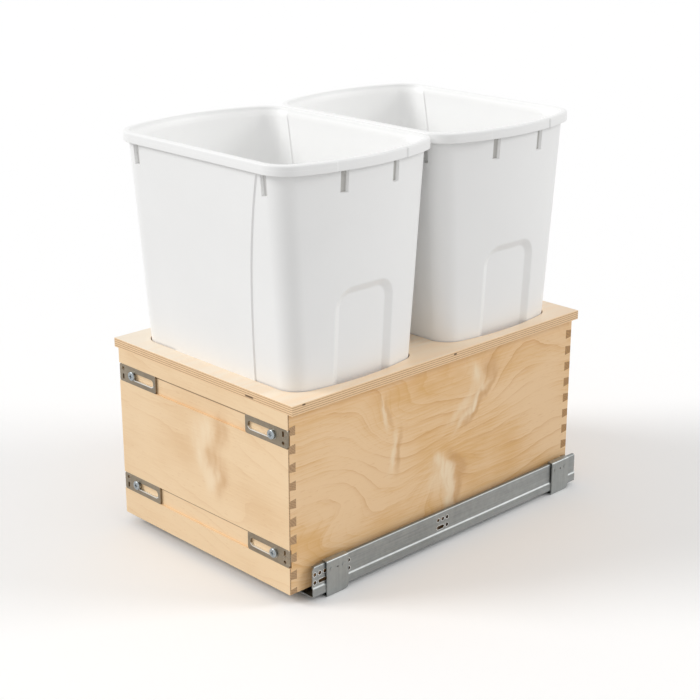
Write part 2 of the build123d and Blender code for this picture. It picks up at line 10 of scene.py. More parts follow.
import bpy
import numpy as np
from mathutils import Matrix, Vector


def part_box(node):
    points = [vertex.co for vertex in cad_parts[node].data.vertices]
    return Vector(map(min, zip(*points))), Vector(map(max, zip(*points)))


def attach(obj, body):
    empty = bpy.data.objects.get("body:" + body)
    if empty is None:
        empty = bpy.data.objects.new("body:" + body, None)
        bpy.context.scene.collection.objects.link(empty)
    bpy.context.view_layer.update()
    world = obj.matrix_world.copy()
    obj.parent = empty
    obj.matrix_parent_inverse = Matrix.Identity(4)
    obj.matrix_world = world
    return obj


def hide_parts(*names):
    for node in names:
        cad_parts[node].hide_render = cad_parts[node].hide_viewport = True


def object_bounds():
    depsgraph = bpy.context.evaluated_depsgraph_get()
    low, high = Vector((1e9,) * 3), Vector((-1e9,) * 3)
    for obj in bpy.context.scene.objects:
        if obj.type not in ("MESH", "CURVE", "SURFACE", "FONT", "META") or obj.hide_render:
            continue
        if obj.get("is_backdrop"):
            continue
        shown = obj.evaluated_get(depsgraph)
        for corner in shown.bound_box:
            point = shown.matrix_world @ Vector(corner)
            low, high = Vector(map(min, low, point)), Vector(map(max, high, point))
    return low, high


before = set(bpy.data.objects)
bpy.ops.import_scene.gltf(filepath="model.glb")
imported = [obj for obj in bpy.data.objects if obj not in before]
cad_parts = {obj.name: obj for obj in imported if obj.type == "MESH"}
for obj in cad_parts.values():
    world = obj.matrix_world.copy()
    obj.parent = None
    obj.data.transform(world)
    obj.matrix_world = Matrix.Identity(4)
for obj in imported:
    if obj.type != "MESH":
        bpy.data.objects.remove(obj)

log = logging.getLogger("waste_bin")

Colour = tuple[float, float, float]
Point = tuple[float, float, float]
Span = tuple[float, float]
Rows = tuple[np.ndarray, np.ndarray, np.ndarray]
# Point attribute that marks the inside rows, which get the painted glow.
INSIDE = "inside"
# Point attribute that carries the painted shade in the notches' floors.
NOTCH_SHADE = "shaded_notch"
LEVELS = ("upper", "lower")
WHITE: Colour = (1.0, 1.0, 1.0)
BLACK: Colour = (0.0, 0.0, 0.0)
LACQUER_IOR = 1.46
PLASTIC_IOR = 1.49
BUMP = 0.5


class Axis(Enum):
    """An axis, as its place among three coordinates."""

    X = 0
    Y = 1
    Z = 2


class Hand(Enum):
    """The two mirrored sides of the unit."""

    RIGHT = "right"
    LEFT = "left"


class Value:
    """A number, vector or colour in a node tree, with arithmetic that adds Math nodes."""

    def __init__(self, tree: "Tree", socket: bpy.types.NodeSocket) -> None:
        """Wrap an output.

        Args:
            tree: the tree that the output belongs to.
            socket: the output itself.
        """
        self.tree = tree
        self.socket = socket

    def maths(self, operation: str, *others: "Value | float") -> "Value":
        """Add one Math node.

        Args:
            operation: the Math node's operation.
            others: its further inputs.

        Returns:
            The result.
        """
        return self.tree.add("ShaderNodeMath", {"operation": operation}, dict(enumerate((self, *others))))

    def reflected(self, operation: str, first: float) -> "Value":
        """Add one Math node with a plain number as its first input.

        Args:
            operation: the Math node's operation.
            first: the plain number.

        Returns:
            The result.
        """
        return self.tree.add("ShaderNodeMath", {"operation": operation}, {0: first, 1: self})

    def __add__(self, other: "Value | float") -> "Value":
        """Add."""
        return self.maths("ADD", other)

    def __radd__(self, other: float) -> "Value":
        """Add to a plain number."""
        return self.reflected("ADD", other)

    def __sub__(self, other: "Value | float") -> "Value":
        """Take away."""
        return self.maths("SUBTRACT", other)

    def __rsub__(self, other: float) -> "Value":
        """Take away from a plain number."""
        return self.reflected("SUBTRACT", other)

    def __mul__(self, other: "Value | float") -> "Value":
        """Multiply."""
        return self.maths("MULTIPLY", other)

    def __rmul__(self, other: float) -> "Value":
        """Multiply a plain number."""
        return self.reflected("MULTIPLY", other)

    def __truediv__(self, other: "Value | float") -> "Value":
        """Divide."""
        return self.maths("DIVIDE", other)

    def __rtruediv__(self, other: float) -> "Value":
        """Divide a plain number."""
        return self.reflected("DIVIDE", other)

    def __pow__(self, other: "Value | float") -> "Value":
        """Raise to a power."""
        return self.maths("POWER", other)

    def __abs__(self) -> "Value":
        """Drop the sign."""
        return self.maths("ABSOLUTE")

    def fract(self) -> "Value":
        """The part after the point."""
        return self.maths("FRACT")

    def root(self) -> "Value":
        """The square root."""
        return self.maths("SQRT")

    def swing(self, reach: float) -> "Value":
        """Turn a value that runs about a half into one that runs about nothing, reach times as far."""
        return (self - 0.5) * reach

    def step(self, low: float, high: float) -> "Value":
        """A smooth rise from 0 to 1.

        Args:
            low: where the rise starts.
            high: where it ends, which may be below low for a fall.

        Returns:
            The share risen.
        """
        settings = {"interpolation_type": "SMOOTHSTEP"}
        falling = high < low
        ends = {"From Min": min(low, high), "From Max": max(low, high)}
        ends["To Min"], ends["To Max"] = (1.0, 0.0) if falling else (0.0, 1.0)
        return self.tree.add("ShaderNodeMapRange", settings, {"Value": self, **ends})


Place = tuple[Value, Value, Value]


class Tree:
    """The shader nodes of one material or of the world."""

    def __init__(self, owner: bpy.types.Material | bpy.types.World) -> None:
        """Empty the owner's nodes.

        Args:
            owner: the material or world.
        """
        self.owner = owner
        owner.use_nodes = True
        self.nodes = owner.node_tree.nodes
        self.links = owner.node_tree.links
        self.nodes.clear()

    @classmethod
    def named(cls, name: str) -> "Tree":
        """Start a new material by name."""
        return cls(bpy.data.materials.new(name))

    def add(
        self,
        kind: str,
        settings: Mapping[str, Any] | None = None,
        inputs: Mapping[Any, Any] | None = None,
        output: int | str = 0,
    ) -> Value:
        """Add a node.

        Args:
            kind: the node's type.
            settings: properties to set on it.
            inputs: values or plain numbers for its inputs, by name or place.
            output: the output wanted.

        Returns:
            That output.
        """
        node = self.nodes.new(kind)
        for key, setting in (settings or {}).items():
            setattr(node, key, setting)
        for key, value in (inputs or {}).items():
            self.feed(node.inputs[key], value)
        return Value(self, node.outputs[output])

    def feed(self, socket: bpy.types.NodeSocket, value: Any) -> None:
        """Link a value to an input, or set a plain number on it.

        Args:
            socket: the input.
            value: what it takes.
        """
        if isinstance(value, Value):
            self.links.new(value.socket, socket)
        else:
            socket.default_value = value

    def place(self) -> Place:
        """The object's own coordinates, in metres.

        Returns:
            X, Y and Z.
        """
        return self.parts(self.add("ShaderNodeTexCoord", output="Object"))

    def facing(self) -> Place:
        """The surface's direction in the object's own coordinates.

        Returns:
            X, Y and Z of the unit normal.
        """
        return self.parts(self.add("ShaderNodeTexCoord", output="Normal"))

    def parts(self, vector: Value) -> Place:
        """Split a vector.

        Args:
            vector: the vector.

        Returns:
            X, Y and Z.
        """
        first = self.add("ShaderNodeSeparateXYZ", None, {0: vector})
        outputs = first.socket.node.outputs
        return first, Value(self, outputs[1]), Value(self, outputs[2])

    def looked_at(self) -> Value:
        """One for a ray that shows the background, straight or in a shiny piece, and nothing for others.

        Returns:
            That share.
        """
        kinds = ("Camera", "Glossy", "Transmission")
        rays = [self.add("ShaderNodeLightPath", output=f"Is {kind} Ray") for kind in kinds]
        return rays[0].maths("MAXIMUM", rays[1]).maths("MAXIMUM", rays[2])

    def attribute(self, name: str) -> Value:
        """A number that each point of the mesh carries."""
        return self.add("ShaderNodeAttribute", {"attribute_name": name}, output="Fac")

    def noise(self, x: Any, y: Any, z: Any, detail: float = 2.0) -> Value:
        """Smooth noise, about one lump for each unit of its coordinates.

        Args:
            x: first coordinate.
            y: second coordinate.
            z: third coordinate.
            detail: how many finer layers are added.

        Returns:
            A value that runs about a half.
        """
        vector = self.add("ShaderNodeCombineXYZ", None, {0: x, 1: y, 2: z})
        return self.add("ShaderNodeTexNoise", None, {"Vector": vector, "Scale": 1.0, "Detail": detail})

    def mix(self, share: Any, first: Any, second: Any) -> Value:
        """Mix two colours.

        Args:
            share: how much of the second.
            first: colour or value.
            second: colour or value.

        Returns:
            The mixed colour.
        """
        ends = {0: share, 6: opaque(first), 7: opaque(second)}
        return self.add("ShaderNodeMix", {"data_type": "RGBA"}, ends, output=2)

    def bump(self, height: Value, distance: float, strength: float) -> Value:
        """Turn a height into a bumped normal.

        Args:
            height: the height, in units of distance.
            distance: how far one unit rises, in metres.
            strength: share of the effect.

        Returns:
            The normal.
        """
        ends = {"Height": height, "Distance": distance, "Strength": strength}
        return self.add("ShaderNodeBump", None, ends)

    def surface(self, **inputs: Any) -> bpy.types.Material:
        """Close the tree with a Principled surface.

        Args:
            inputs: its inputs, with underscores for the spaces in their names.

        Returns:
            The material.
        """
        named = {key.replace("_", " "): value for key, value in inputs.items()}
        shader = self.add("ShaderNodeBsdfPrincipled", None, named)
        self.close("ShaderNodeOutputMaterial", shader)
        return self.owner

    def close(self, kind: str, shader: Value) -> None:
        """Send a shader to an output node.

        Args:
            kind: the output node's type.
            shader: the shader.
        """
        node = self.nodes.new(kind)
        self.feed(node.inputs["Surface"], shader)


def opaque(colour: Any) -> Any:
    """Give a plain colour its alpha.

    Args:
        colour: three numbers, or a value that passes through.

    Returns:
        Four numbers, or the value.
    """
    return colour if isinstance(colour, Value) else (*colour, 1.0)


def hill(out: Value, up: Value) -> Value:
    """A round hill: e to the power of minus the squared distance from its top.

    Args:
        out: distance off the top one way, in reaches.
        up: distance off it the other way.

    Returns:
        One at the top, falling to nothing.
    """
    return ((out**2.0 + up**2.0) * -1.0).maths("EXPONENT")


@dataclass(frozen=True)
class Lumps:
    """The scale of a noise: lumps to a metre in three directions, and the direction that a seed shifts."""

    scale: tuple[float, float, float]
    detail: float
    seeded: Axis | None = None

    def over(self, tree: Tree, place: Place, seed: float = 0.0, push: Value | None = None) -> Value:
        """Lay the noise over a place.

        Args:
            tree: the material's nodes.
            place: run in each direction, in metres.
            seed: shift that sets one board apart from the next.
            push: a further shift in the first direction, in lumps.

        Returns:
            A value that runs about a half.
        """
        spots = [run * scale for run, scale in zip(place, self.scale)]
        if self.seeded is not None:
            spots[self.seeded.value] = spots[self.seeded.value] + seed
        if push is not None:
            spots[0] = spots[0] + push
        return tree.noise(*spots, self.detail)


@dataclass(frozen=True)
class Swirl:
    """A place that the growth lines bend round."""

    along: float
    across: float
    reach: float
    push: float
    stretch: float = 1.5

    def bend(self, along: Value, across: Value) -> Value:
        """How far the lines are pushed: a hill over the place, longer along the grain.

        Args:
            along: run along the grain.
            across: run across it.

        Returns:
            The push at its top, falling to nothing.
        """
        up = (across - self.across) / self.reach
        out = (along - self.along) / (self.reach * self.stretch)
        return hill(out, up) * self.push


@dataclass(frozen=True)
class Streak:
    """A leaning stroke of figure, where curled grain shines on one side and looks dark on the other."""

    along: float
    across: float
    rise: float
    width: float
    lean: float
    sheen: float

    def stroke(self, along: Value, across: Value, beside: float = 0.0) -> Value:
        """A ridge along the stroke: a hill in the distances off it and up it.

        Args:
            along: run along the grain.
            across: run across it.
            beside: how many widths the ridge is moved along the grain.

        Returns:
            The sheen at its top, falling to nothing.
        """
        up = (across - self.across) / self.rise
        middle = self.along + beside * self.width
        out = (along - middle - (across - self.across) * self.lean) / self.width
        return hill(out, up) * self.sheen


@dataclass(frozen=True)
class Figure:
    """How streaks of curled grain look on a board: ragged, with finer strokes inside them."""

    ragged: Lumps = Lumps((34.0, 26.0, 8.0), 3.0, Axis.X)
    ragged_reach: float = 0.034
    wander: Lumps = Lumps((30.0, 24.0, 8.0), 2.0, Axis.Y)
    wander_reach: float = 0.040
    strokes: Lumps = Lumps((150.0, 30.0, 8.0), 2.0, Axis.Y)
    stroke_push: float = 4.0
    onset: Span = (0.05, 1.0)
    shade_beside: float = 1.7
    shade_least: float = 0.28
    shade_strokes: float = 0.5
    shine_least: float = 0.55
    shine_turn: Span = (0.75, 0.35)
    shine: Colour = (0.96, 0.76, 0.52)
    amber: Colour = (0.60, 0.32, 0.125)

    def lay(self, tree: Tree, face: Value, board: Place, streaks: tuple[Streak, ...], seed: float) -> Value:
        """Lay streaks over a board's colour.

        Args:
            tree: the material's nodes.
            face: colour so far.
            board: runs along the grain, across it and into the board.
            streaks: the streaks.
            seed: the board's seed.

        Returns:
            The colour with its figure.
        """
        ragged = self.ragged.over(tree, board, seed)
        wander = self.wander.over(tree, board, seed)
        strokes = self.strokes.over(tree, board, seed, wander * self.stroke_push)
        along = board[0] + ragged.swing(self.ragged_reach)
        across = board[1] + wander.swing(self.wander_reach)
        light, shade = 0.0, 0.0
        for streak in streaks:
            light = streak.stroke(along, across) + light
            shade = streak.stroke(along, across, self.shade_beside) + shade
        dull = strokes * self.shade_strokes + self.shade_least
        bright = strokes.step(*self.shine_turn) * (1.0 - self.shine_least) + self.shine_least
        face = tree.mix(shade.step(*self.onset) * dull, face, self.amber)
        return tree.mix(light.step(*self.onset) * bright, face, self.shine)


@dataclass(frozen=True)
class GrooveShadow:
    """A painted shadow: a dark line along the upper edge of a groove, under its lip."""

    width: float = 0.0036
    fade: float = 0.75
    edge: float = 0.0002
    shadow_share: float = 0.8
    shadow_colour: Colour = (0.16, 0.08, 0.03)

    def lay(self, tree: Tree, face: Value, under: Value) -> Value:
        """Lay the painted shadow over a board's colour.

        Args:
            tree: the material's nodes.
            face: colour so far.
            under: how far the shaded point lies under the groove's edge.

        Returns:
            The colour with its painted shadow.
        """
        mark = under.step(self.width, self.width * self.fade) * under.step(-self.edge, self.edge)
        return tree.mix(mark * self.shadow_share, face, self.shadow_colour)


@dataclass(frozen=True)
class EndGrain:
    """Wood cut across its grain: close rings and open pores, darker than the face."""

    pores: Lumps = Lumps((900.0, 900.0, 900.0), 1.0)
    ring_share: float = 0.16
    ring_tone: float = 0.3
    pore_tone: float = 0.5
    darker: float = 0.1
    colour: Colour = (0.30, 0.165, 0.078)

    def cut(self, tree: Tree, place: Place, turns: Value, deep: Colour) -> Value:
        """The colour of a cut end.

        Args:
            tree: the material's nodes.
            place: the object's own coordinates.
            turns: growth rings of the face, counted across the board.
            deep: the face's deeper colour.

        Returns:
            The colour.
        """
        rings = (turns / self.ring_share).fract()
        pores = self.pores.over(tree, place)
        return tree.mix(rings * self.ring_tone + pores * self.pore_tone - self.darker, self.colour, deep)


@dataclass(frozen=True)
class Maple:
    """Clear-finished flat-sawn maple: growth lines that drift along the board, and streaks of figure."""

    name: str
    grain: Axis
    depth: Axis
    seed: float
    swirls: tuple[Swirl, ...] = ()
    streaks: tuple[Streak, ...] = ()
    # Heights of groove edges that get a painted shadow below them.
    sawn: tuple[float, ...] = ()
    lines: float = 0.45
    ring: float = 0.028
    slope: float = 0.05
    tilt: float = 0.6
    drift: Lumps = Lumps((3.4, 6.5, 5.0), 1.0, Axis.X)
    drift_reach: float = 0.19
    ripple: Lumps = Lumps((15.0, 22.0, 22.0), 3.0, Axis.X)
    ripple_reach: float = 0.020
    patch: Lumps = Lumps((12.0, 15.0, 9.0), 2.0, Axis.Z)
    patch_turn: Span = (0.40, 0.64)
    patch_least: float = 0.05
    late_power: float = 9.0
    fine_share: float = 0.31
    fine_power: float = 5.0
    fine_fade: float = 0.5
    fibre: Lumps = Lumps((16.0, 420.0, 420.0), 4.0, Axis.Z)
    fleck: Lumps = Lumps((90.0, 520.0, 520.0), 1.0, Axis.Y)
    fleck_turn: Span = (0.62, 0.76)
    fleck_share: float = 0.16
    cloud: Lumps = Lumps((6.0, 10.0, 6.0), 3.0, Axis.Z)
    cloud_tone: float = 2.2
    fibre_tone: float = 0.80
    line_tone: float = 0.45
    fine_tone: float = 0.5
    least_tone: float = 0.24
    end_turn: Span = (0.6, 0.85)
    gloss: float = 0.38
    fibre_gloss: float = 0.10
    end_gloss: float = 0.2
    relief: float = 0.00006
    pale: Colour = (0.905, 0.63, 0.365)
    deep: Colour = (0.775, 0.455, 0.172)
    line: Colour = (0.60, 0.27, 0.065)
    figure: Figure = Figure()
    groove_shadow: GrooveShadow = GrooveShadow()
    end: EndGrain = EndGrain()

    def build(self) -> bpy.types.Material:
        """Make the material.

        Returns:
            The material.
        """
        tree = Tree.named(self.name)
        place = tree.place()
        across_axis = sum(axis.value for axis in Axis) - self.grain.value - self.depth.value
        board = (place[self.grain.value], place[across_axis], place[self.depth.value])
        field = self.field(tree, board)
        fibre = self.fibre.over(tree, board, self.seed)
        face = self.face(tree, board, field, fibre)
        if self.streaks:
            face = self.figure.lay(tree, face, board, self.streaks, self.seed)
        # Painted shadow under each groove's upper edge.
        for level in self.sawn:
            face = self.groove_shadow.lay(tree, face, level - board[1])
        cut = self.end.cut(tree, place, field / self.ring, self.deep)
        across_grain = abs(tree.facing()[self.grain.value]).step(*self.end_turn)
        colour = tree.mix(across_grain, face, cut)
        gloss = self.gloss + fibre * self.fibre_gloss + across_grain * self.end_gloss
        normal = tree.bump(fibre, self.relief, BUMP)
        return tree.surface(Base_Color=colour, Roughness=gloss, Normal=normal, IOR=LACQUER_IOR)

    def field(self, tree: Tree, board: Place) -> Value:
        """The run across the growth lines: a slanted plane, bent by slow drift, fine ripple and swirls.

        Args:
            tree: the material's nodes.
            board: runs along the grain, across it and into the board.

        Returns:
            The run, in metres.
        """
        along, across, depth = board
        drift = self.drift.over(tree, board, self.seed).swing(self.drift_reach)
        ripple = self.ripple.over(tree, board, self.seed).swing(self.ripple_reach)
        field = across + along * self.slope + depth * self.tilt + drift + ripple
        for swirl in self.swirls:
            field = field + swirl.bend(along, across)
        return field

    def face(self, tree: Tree, board: Place, field: Value, fibre: Value) -> Value:
        """The colour of the long faces: clouds and fibres, with late wood as lines that come and go.

        Args:
            tree: the material's nodes.
            board: runs along the grain, across it and into the board.
            field: the run across the growth lines.
            fibre: the fibres' noise.

        Returns:
            The colour.
        """
        turns = (field / self.ring).fract()
        patch = self.patch.over(tree, board, self.seed).step(*self.patch_turn)
        late = turns**self.late_power * (patch * (1.0 - self.patch_least) + self.patch_least)
        fine = (field / (self.ring * self.fine_share)).fract() ** self.fine_power
        fine = fine * (1.0 - patch * self.fine_fade) * self.lines
        fleck = self.fleck.over(tree, board, self.seed).step(*self.fleck_turn)
        tone = self.cloud.over(tree, board, self.seed).swing(self.cloud_tone) + fibre.swing(self.fibre_tone)
        tone = tone + turns * self.lines * self.line_tone + fine * self.fine_tone + self.least_tone
        face = tree.mix(tone.step(0.0, 1.0), self.pale, self.deep)
        return tree.mix(late * self.lines + fleck * self.fleck_share, face, self.line)


@dataclass(frozen=True)
class Filler:
    """A spot of dark filler on a plywood edge."""

    x: float
    y: float
    half: float
    level: float
    fade: float = 0.6
    rise: Span = (0.0016, 0.0006)

    def share(self, place: Place, under: float, thickness: float) -> Value:
        """Share of filler: within the spot's length and near its level.

        Args:
            place: the object's own coordinates.
            under: height of the sheet's underside.
            thickness: the sheet's thickness.

        Returns:
            One in the spot, nothing off it.
        """
        x, y, z = place
        reach = ((x - self.x) ** 2.0 + (y - self.y) ** 2.0).root()
        off = abs(z - (under + thickness * self.level))
        return reach.step(self.half, self.half * self.fade) * off.step(*self.rise)


@dataclass(frozen=True)
class Plywood:
    """Birch plywood: a rotary-cut veneer on its faces and its plies showing at its edges."""

    name: str
    under: float
    thickness: float
    plies: int
    seed: float
    marks: tuple[Filler, ...] = ()
    cloud: Lumps = Lumps((7.0, 3.0, 3.0), 2.0, Axis.X)
    wave: Lumps = Lumps((16.0, 4.0, 1.0), 2.0, Axis.Y)
    fibre: Lumps = Lumps((700.0, 20.0, 700.0), 3.0, Axis.Z)
    bands: float = 42.0
    band_wave: float = 5.0
    band_cloud: float = 2.0
    cloud_tone: float = 0.8
    fibre_tone: float = 0.35
    band_tone: float = 0.22
    rightward_shade: float = 1.3
    least_tone: float = 0.28
    drift: Lumps = Lumps((12.0, 12.0, 0.0), 1.0, Axis.Z)
    drift_plies: float = 0.35
    streak: Lumps = Lumps((260.0, 260.0, 900.0), 2.0)
    odd_middle: float = 0.75
    odd_turn: Span = (0.20, 0.15)
    odd_tone: float = 0.85
    streak_tone: float = 0.5
    seam_turn: Span = (0.42, 0.49)
    seam_tone: float = 0.7
    face_turn: Span = (0.5, 0.8)
    gloss: float = 0.28
    fibre_gloss: float = 0.1
    relief: float = 0.00003
    pale: Colour = (0.95, 0.835, 0.675)
    deep: Colour = (0.97, 0.72, 0.475)
    ply_pale: Colour = (0.92, 0.645, 0.38)
    ply_deep: Colour = (0.50, 0.30, 0.15)
    glue: Colour = (0.27, 0.15, 0.07)
    filler: Colour = (0.12, 0.055, 0.015)

    def build(self) -> bpy.types.Material:
        """Make the material.

        Returns:
            The material.
        """
        tree = Tree.named(self.name)
        place = tree.place()
        fibre = self.fibre.over(tree, place, self.seed)
        upward = abs(tree.facing()[Axis.Z.value]).step(*self.face_turn)
        colour = tree.mix(upward, self.edge(tree, place), self.veneer(tree, place, fibre))
        gloss = self.gloss + fibre * self.fibre_gloss
        normal = tree.bump(fibre, self.relief, BUMP)
        return tree.surface(Base_Color=colour, Roughness=gloss, Normal=normal, IOR=LACQUER_IOR)

    def veneer(self, tree: Tree, place: Place, fibre: Value) -> Value:
        """The faces' colour: wavy bands of peeled veneer, which get darker and warmer to the right as a
        painted shade.

        Args:
            tree: the material's nodes.
            place: the object's own coordinates.
            fibre: the fibres' noise.

        Returns:
            The colour.
        """
        x = place[Axis.X.value]
        cloud = self.cloud.over(tree, place, self.seed)
        wave = self.wave.over(tree, place, self.seed)
        bands = (x * self.bands + wave * self.band_wave + cloud * self.band_cloud).fract().swing(2.0)
        tone = cloud.swing(self.cloud_tone) + fibre.swing(self.fibre_tone) + abs(bands) * self.band_tone
        # Painted shade: the tone darkens towards the right.
        tone = tone + x * self.rightward_shade + self.least_tone
        return tree.mix(tone.step(0.0, 1.0), self.pale, self.deep)

    def edge(self, tree: Tree, place: Place) -> Value:
        """The edges' colour: plies light and dark by turns, with glue seams and spots of filler.

        Args:
            tree: the material's nodes.
            place: the object's own coordinates.

        Returns:
            The colour.
        """
        drift = self.drift.over(tree, place, self.seed).swing(self.drift_plies)
        height = (place[Axis.Z.value] - self.under) / self.thickness
        layer = height * float(self.plies) + drift
        odd = abs((layer * 0.5).fract() - self.odd_middle).step(*self.odd_turn)
        streak = self.streak.over(tree, place)
        ply = tree.mix(odd * self.odd_tone + streak.swing(self.streak_tone), self.ply_pale, self.ply_deep)
        seam = abs(layer.fract() - 0.5).step(*self.seam_turn) * streak * self.seam_tone
        edge = tree.mix(seam, ply, self.glue)
        for mark in self.marks:
            edge = tree.mix(mark.share(place, self.under, self.thickness), edge, self.filler)
        return edge


@dataclass(frozen=True)
class PunchedRim:
    """The edge of a punched hole or slot, with a painted highlight all round or along its lower side."""

    run: Axis
    at: float
    level: float
    radius: float
    half: float = 0.0
    lip: float = 0.0011
    lower: bool = False
    fade: float = 0.5
    lower_turn: Span = (-0.3, -0.7)
    wall_turn: Span = (0.00012, 0.00006)

    def off(self, place: Place) -> Value:
        """Distance off a hole's middle or a slot's middle line.

        Args:
            place: X, Y and Z of the shaded point; rims that run along X come in mirrored pairs.

        Returns:
            The distance, in metres.
        """
        run = abs(place[Axis.X.value]) if self.run is Axis.X else place[self.run.value]
        past = (abs(run - self.at) - self.half).maths("MAXIMUM", 0.0)
        up = place[Axis.Z.value] - self.level
        return (past**2.0 + up**2.0).root()

    def share(self, place: Place) -> Value:
        """Share of painted highlight: the distance off the slot's middle line is a little over its radius.

        Args:
            place: X, Y and Z of the shaded point.

        Returns:
            One on the rim, nothing off it.
        """
        rim = self.off(place).step(self.radius + self.lip, self.radius + self.lip * self.fade)
        up = place[Axis.Z.value] - self.level
        return rim * up.step(*(turn * self.radius for turn in self.lower_turn)) if self.lower else rim

    def wall(self, place: Place) -> Value:
        """Share of cut wall, where the painted shadow goes: the distance off the slot's middle line is its
        radius.

        Args:
            place: X, Y and Z of the shaded point.

        Returns:
            One on the hole's own wall, nothing on the sheet round it.
        """
        return self.off(place).step(*(self.radius + turn for turn in self.wall_turn))


@dataclass(frozen=True)
class Plated:
    """Zinc-plated or tumbled sheet steel, with faint rolling streaks along it and a mottled plating; it may
    carry painted light on its top faces, punched rims and hole walls.
    """

    name: str
    light: Colour
    dark: Colour
    roughness: float
    run: Axis
    # Colour of the painted highlight round punched rims.
    rim_highlight: Colour = (0.80, 0.80, 0.78)
    # Painted light on up-facing faces: a pale colour is a painted highlight, a dark one a painted shade.
    upper: Colour | None = None
    painted_top_turn: Span = (0.45, 0.75)
    # Near-black painted shadow on the cut walls of punched holes.
    painted_hole_shade: Colour | None = None
    rims: tuple[PunchedRim, ...] = ()
    lines_across: float = 650.0
    lines_along: float = 9.0
    lines_detail: float = 3.0
    mottle: Lumps = Lumps((130.0, 130.0, 130.0), 3.0)
    cloud: Lumps = Lumps((14.0, 14.0, 14.0), 2.0)
    line_tone: float = 0.49
    mottle_tone: float = 0.35
    cloud_tone: float = 0.6
    middle_tone: float = 0.5
    mottle_gloss: float = 0.08
    line_gloss: float = 0.10
    mottle_relief: float = 0.6
    relief: float = 0.00003

    def build(self) -> bpy.types.Material:
        """Make the material.

        Returns:
            The material.
        """
        tree = Tree.named(self.name)
        place = tree.place()
        scale = tuple(self.lines_along if axis is self.run else self.lines_across for axis in Axis)
        lines = Lumps(scale, self.lines_detail).over(tree, place)
        mottle = self.mottle.over(tree, place)
        cloud = self.cloud.over(tree, place).swing(self.cloud_tone)
        tone = lines.swing(self.line_tone) + mottle.swing(self.mottle_tone) + cloud + self.middle_tone
        colour = tree.mix(tone.step(0.0, 1.0), self.light, self.dark)
        # Up-facing faces take the given colour: on the door brackets a painted highlight, on the rails a
        # painted shade.
        if self.upper:
            colour = tree.mix(tree.facing()[Axis.Z.value].step(*self.painted_top_turn), colour, self.upper)
        for rim in self.rims:
            # Painted highlight round each punched rim.
            colour = tree.mix(rim.share(place), colour, self.rim_highlight)
            # Painted shadow on the holes' cut walls.
            if self.painted_hole_shade:
                colour = tree.mix(rim.wall(place), colour, self.painted_hole_shade)
        gloss = self.roughness + mottle.swing(self.mottle_gloss) + lines.swing(self.line_gloss)
        normal = tree.bump(lines + mottle * self.mottle_relief, self.relief, BUMP)
        return tree.surface(Base_Color=colour, Metallic=1.0, Roughness=gloss, Normal=normal)


@dataclass(frozen=True)
class Moulded:
    """Moulded plastic with a fine satin texture; its inside can get a painted glow that stands in for light
    let through the pale, slender wall, and its notches a painted shade.
    """

    name: str
    colour: Colour
    roughness: float
    # Strength of a painted glow on the inside, an emission that stands in for light let through the wall.
    painted_glow: float = 0.0
    # Painted shade in the notches' floors: its colour, and the rise of its share.
    shaded_notch: Colour = (0.555, 0.545, 0.52)
    notch_shade_turn: Span = (0.6, 1.0)
    grain: Lumps = Lumps((1500.0, 1500.0, 1500.0), 1.0)
    relief: float = 0.00002
    wear: Lumps = Lumps((9.0, 9.0, 9.0), 2.0)
    wear_turn: Span = (0.3, 0.7)
    wear_shade: float = 0.985
    wear_gloss: float = 0.08

    def build(self) -> bpy.types.Material:
        """Make the material.

        Returns:
            The material.
        """
        tree = Tree.named(self.name)
        place = tree.place()
        wear = self.wear.over(tree, place)
        shade = tuple(channel * self.wear_shade for channel in self.colour)
        colour = tree.mix(wear.step(*self.wear_turn), self.colour, shade)
        gloss = self.roughness + wear.swing(self.wear_gloss)
        normal = tree.bump(self.grain.over(tree, place), self.relief, BUMP)
        looks = {"Base_Color": colour, "Roughness": gloss, "Normal": normal, "IOR": PLASTIC_IOR}
        if self.painted_glow:
            # Painted shade: the notches' floors are darkened by the notch-shade attribute.
            shaded_notch = tree.attribute(NOTCH_SHADE).step(*self.notch_shade_turn)
            looks["Base_Color"] = tree.mix(shaded_notch, colour, self.shaded_notch)
            # Painted glow: the inside rows emit the plastic's colour.
            looks["Emission_Color"] = tree.mix(tree.attribute(INSIDE), BLACK, self.colour)
            looks["Emission_Strength"] = self.painted_glow
        return tree.surface(**looks)


@dataclass(frozen=True)
class Flat:
    """A plain matt floor, which looks white and throws back less light than it shows."""

    name: str
    seen: Colour
    thrown: Colour
    roughness: float = 0.9

    def build(self) -> bpy.types.Material:
        """Make the material.

        Returns:
            The material.
        """
        tree = Tree.named(self.name)
        colour = tree.mix(tree.looked_at(), self.thrown, self.seen)
        return tree.surface(Base_Color=colour, Roughness=self.roughness)


# The bins' plastic, with a painted glow on its inside.
BIN_PLASTIC = Moulded("bin_plastic", (0.935, 0.935, 0.928), roughness=0.40, painted_glow=0.06)


def dress(node: str, material: bpy.types.Material) -> None:
    """Put a material in every slot of a CAD node.

    Args:
        node: the node's name.
        material: the material.
    """
    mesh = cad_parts[node].data
    if not mesh.materials:
        mesh.materials.append(material)
    for place in range(len(mesh.materials)):
        mesh.materials[place] = material
    log.info("dressed %s with %s", node, material.name)


def grid_faces(rows: int, columns: int) -> np.ndarray:
    """Quads of a grid whose columns close into a loop.

    Args:
        rows: number of rows.
        columns: number of columns.

    Returns:
        Corner numbers, four to a quad.
    """
    row, column = np.meshgrid(np.arange(rows - 1), np.arange(columns), indexing="ij")
    here, above = row * columns, (row + 1) * columns
    after = (column + 1) % columns
    return np.stack([here + column, here + after, above + after, above + column], axis=-1).reshape(-1, 4)


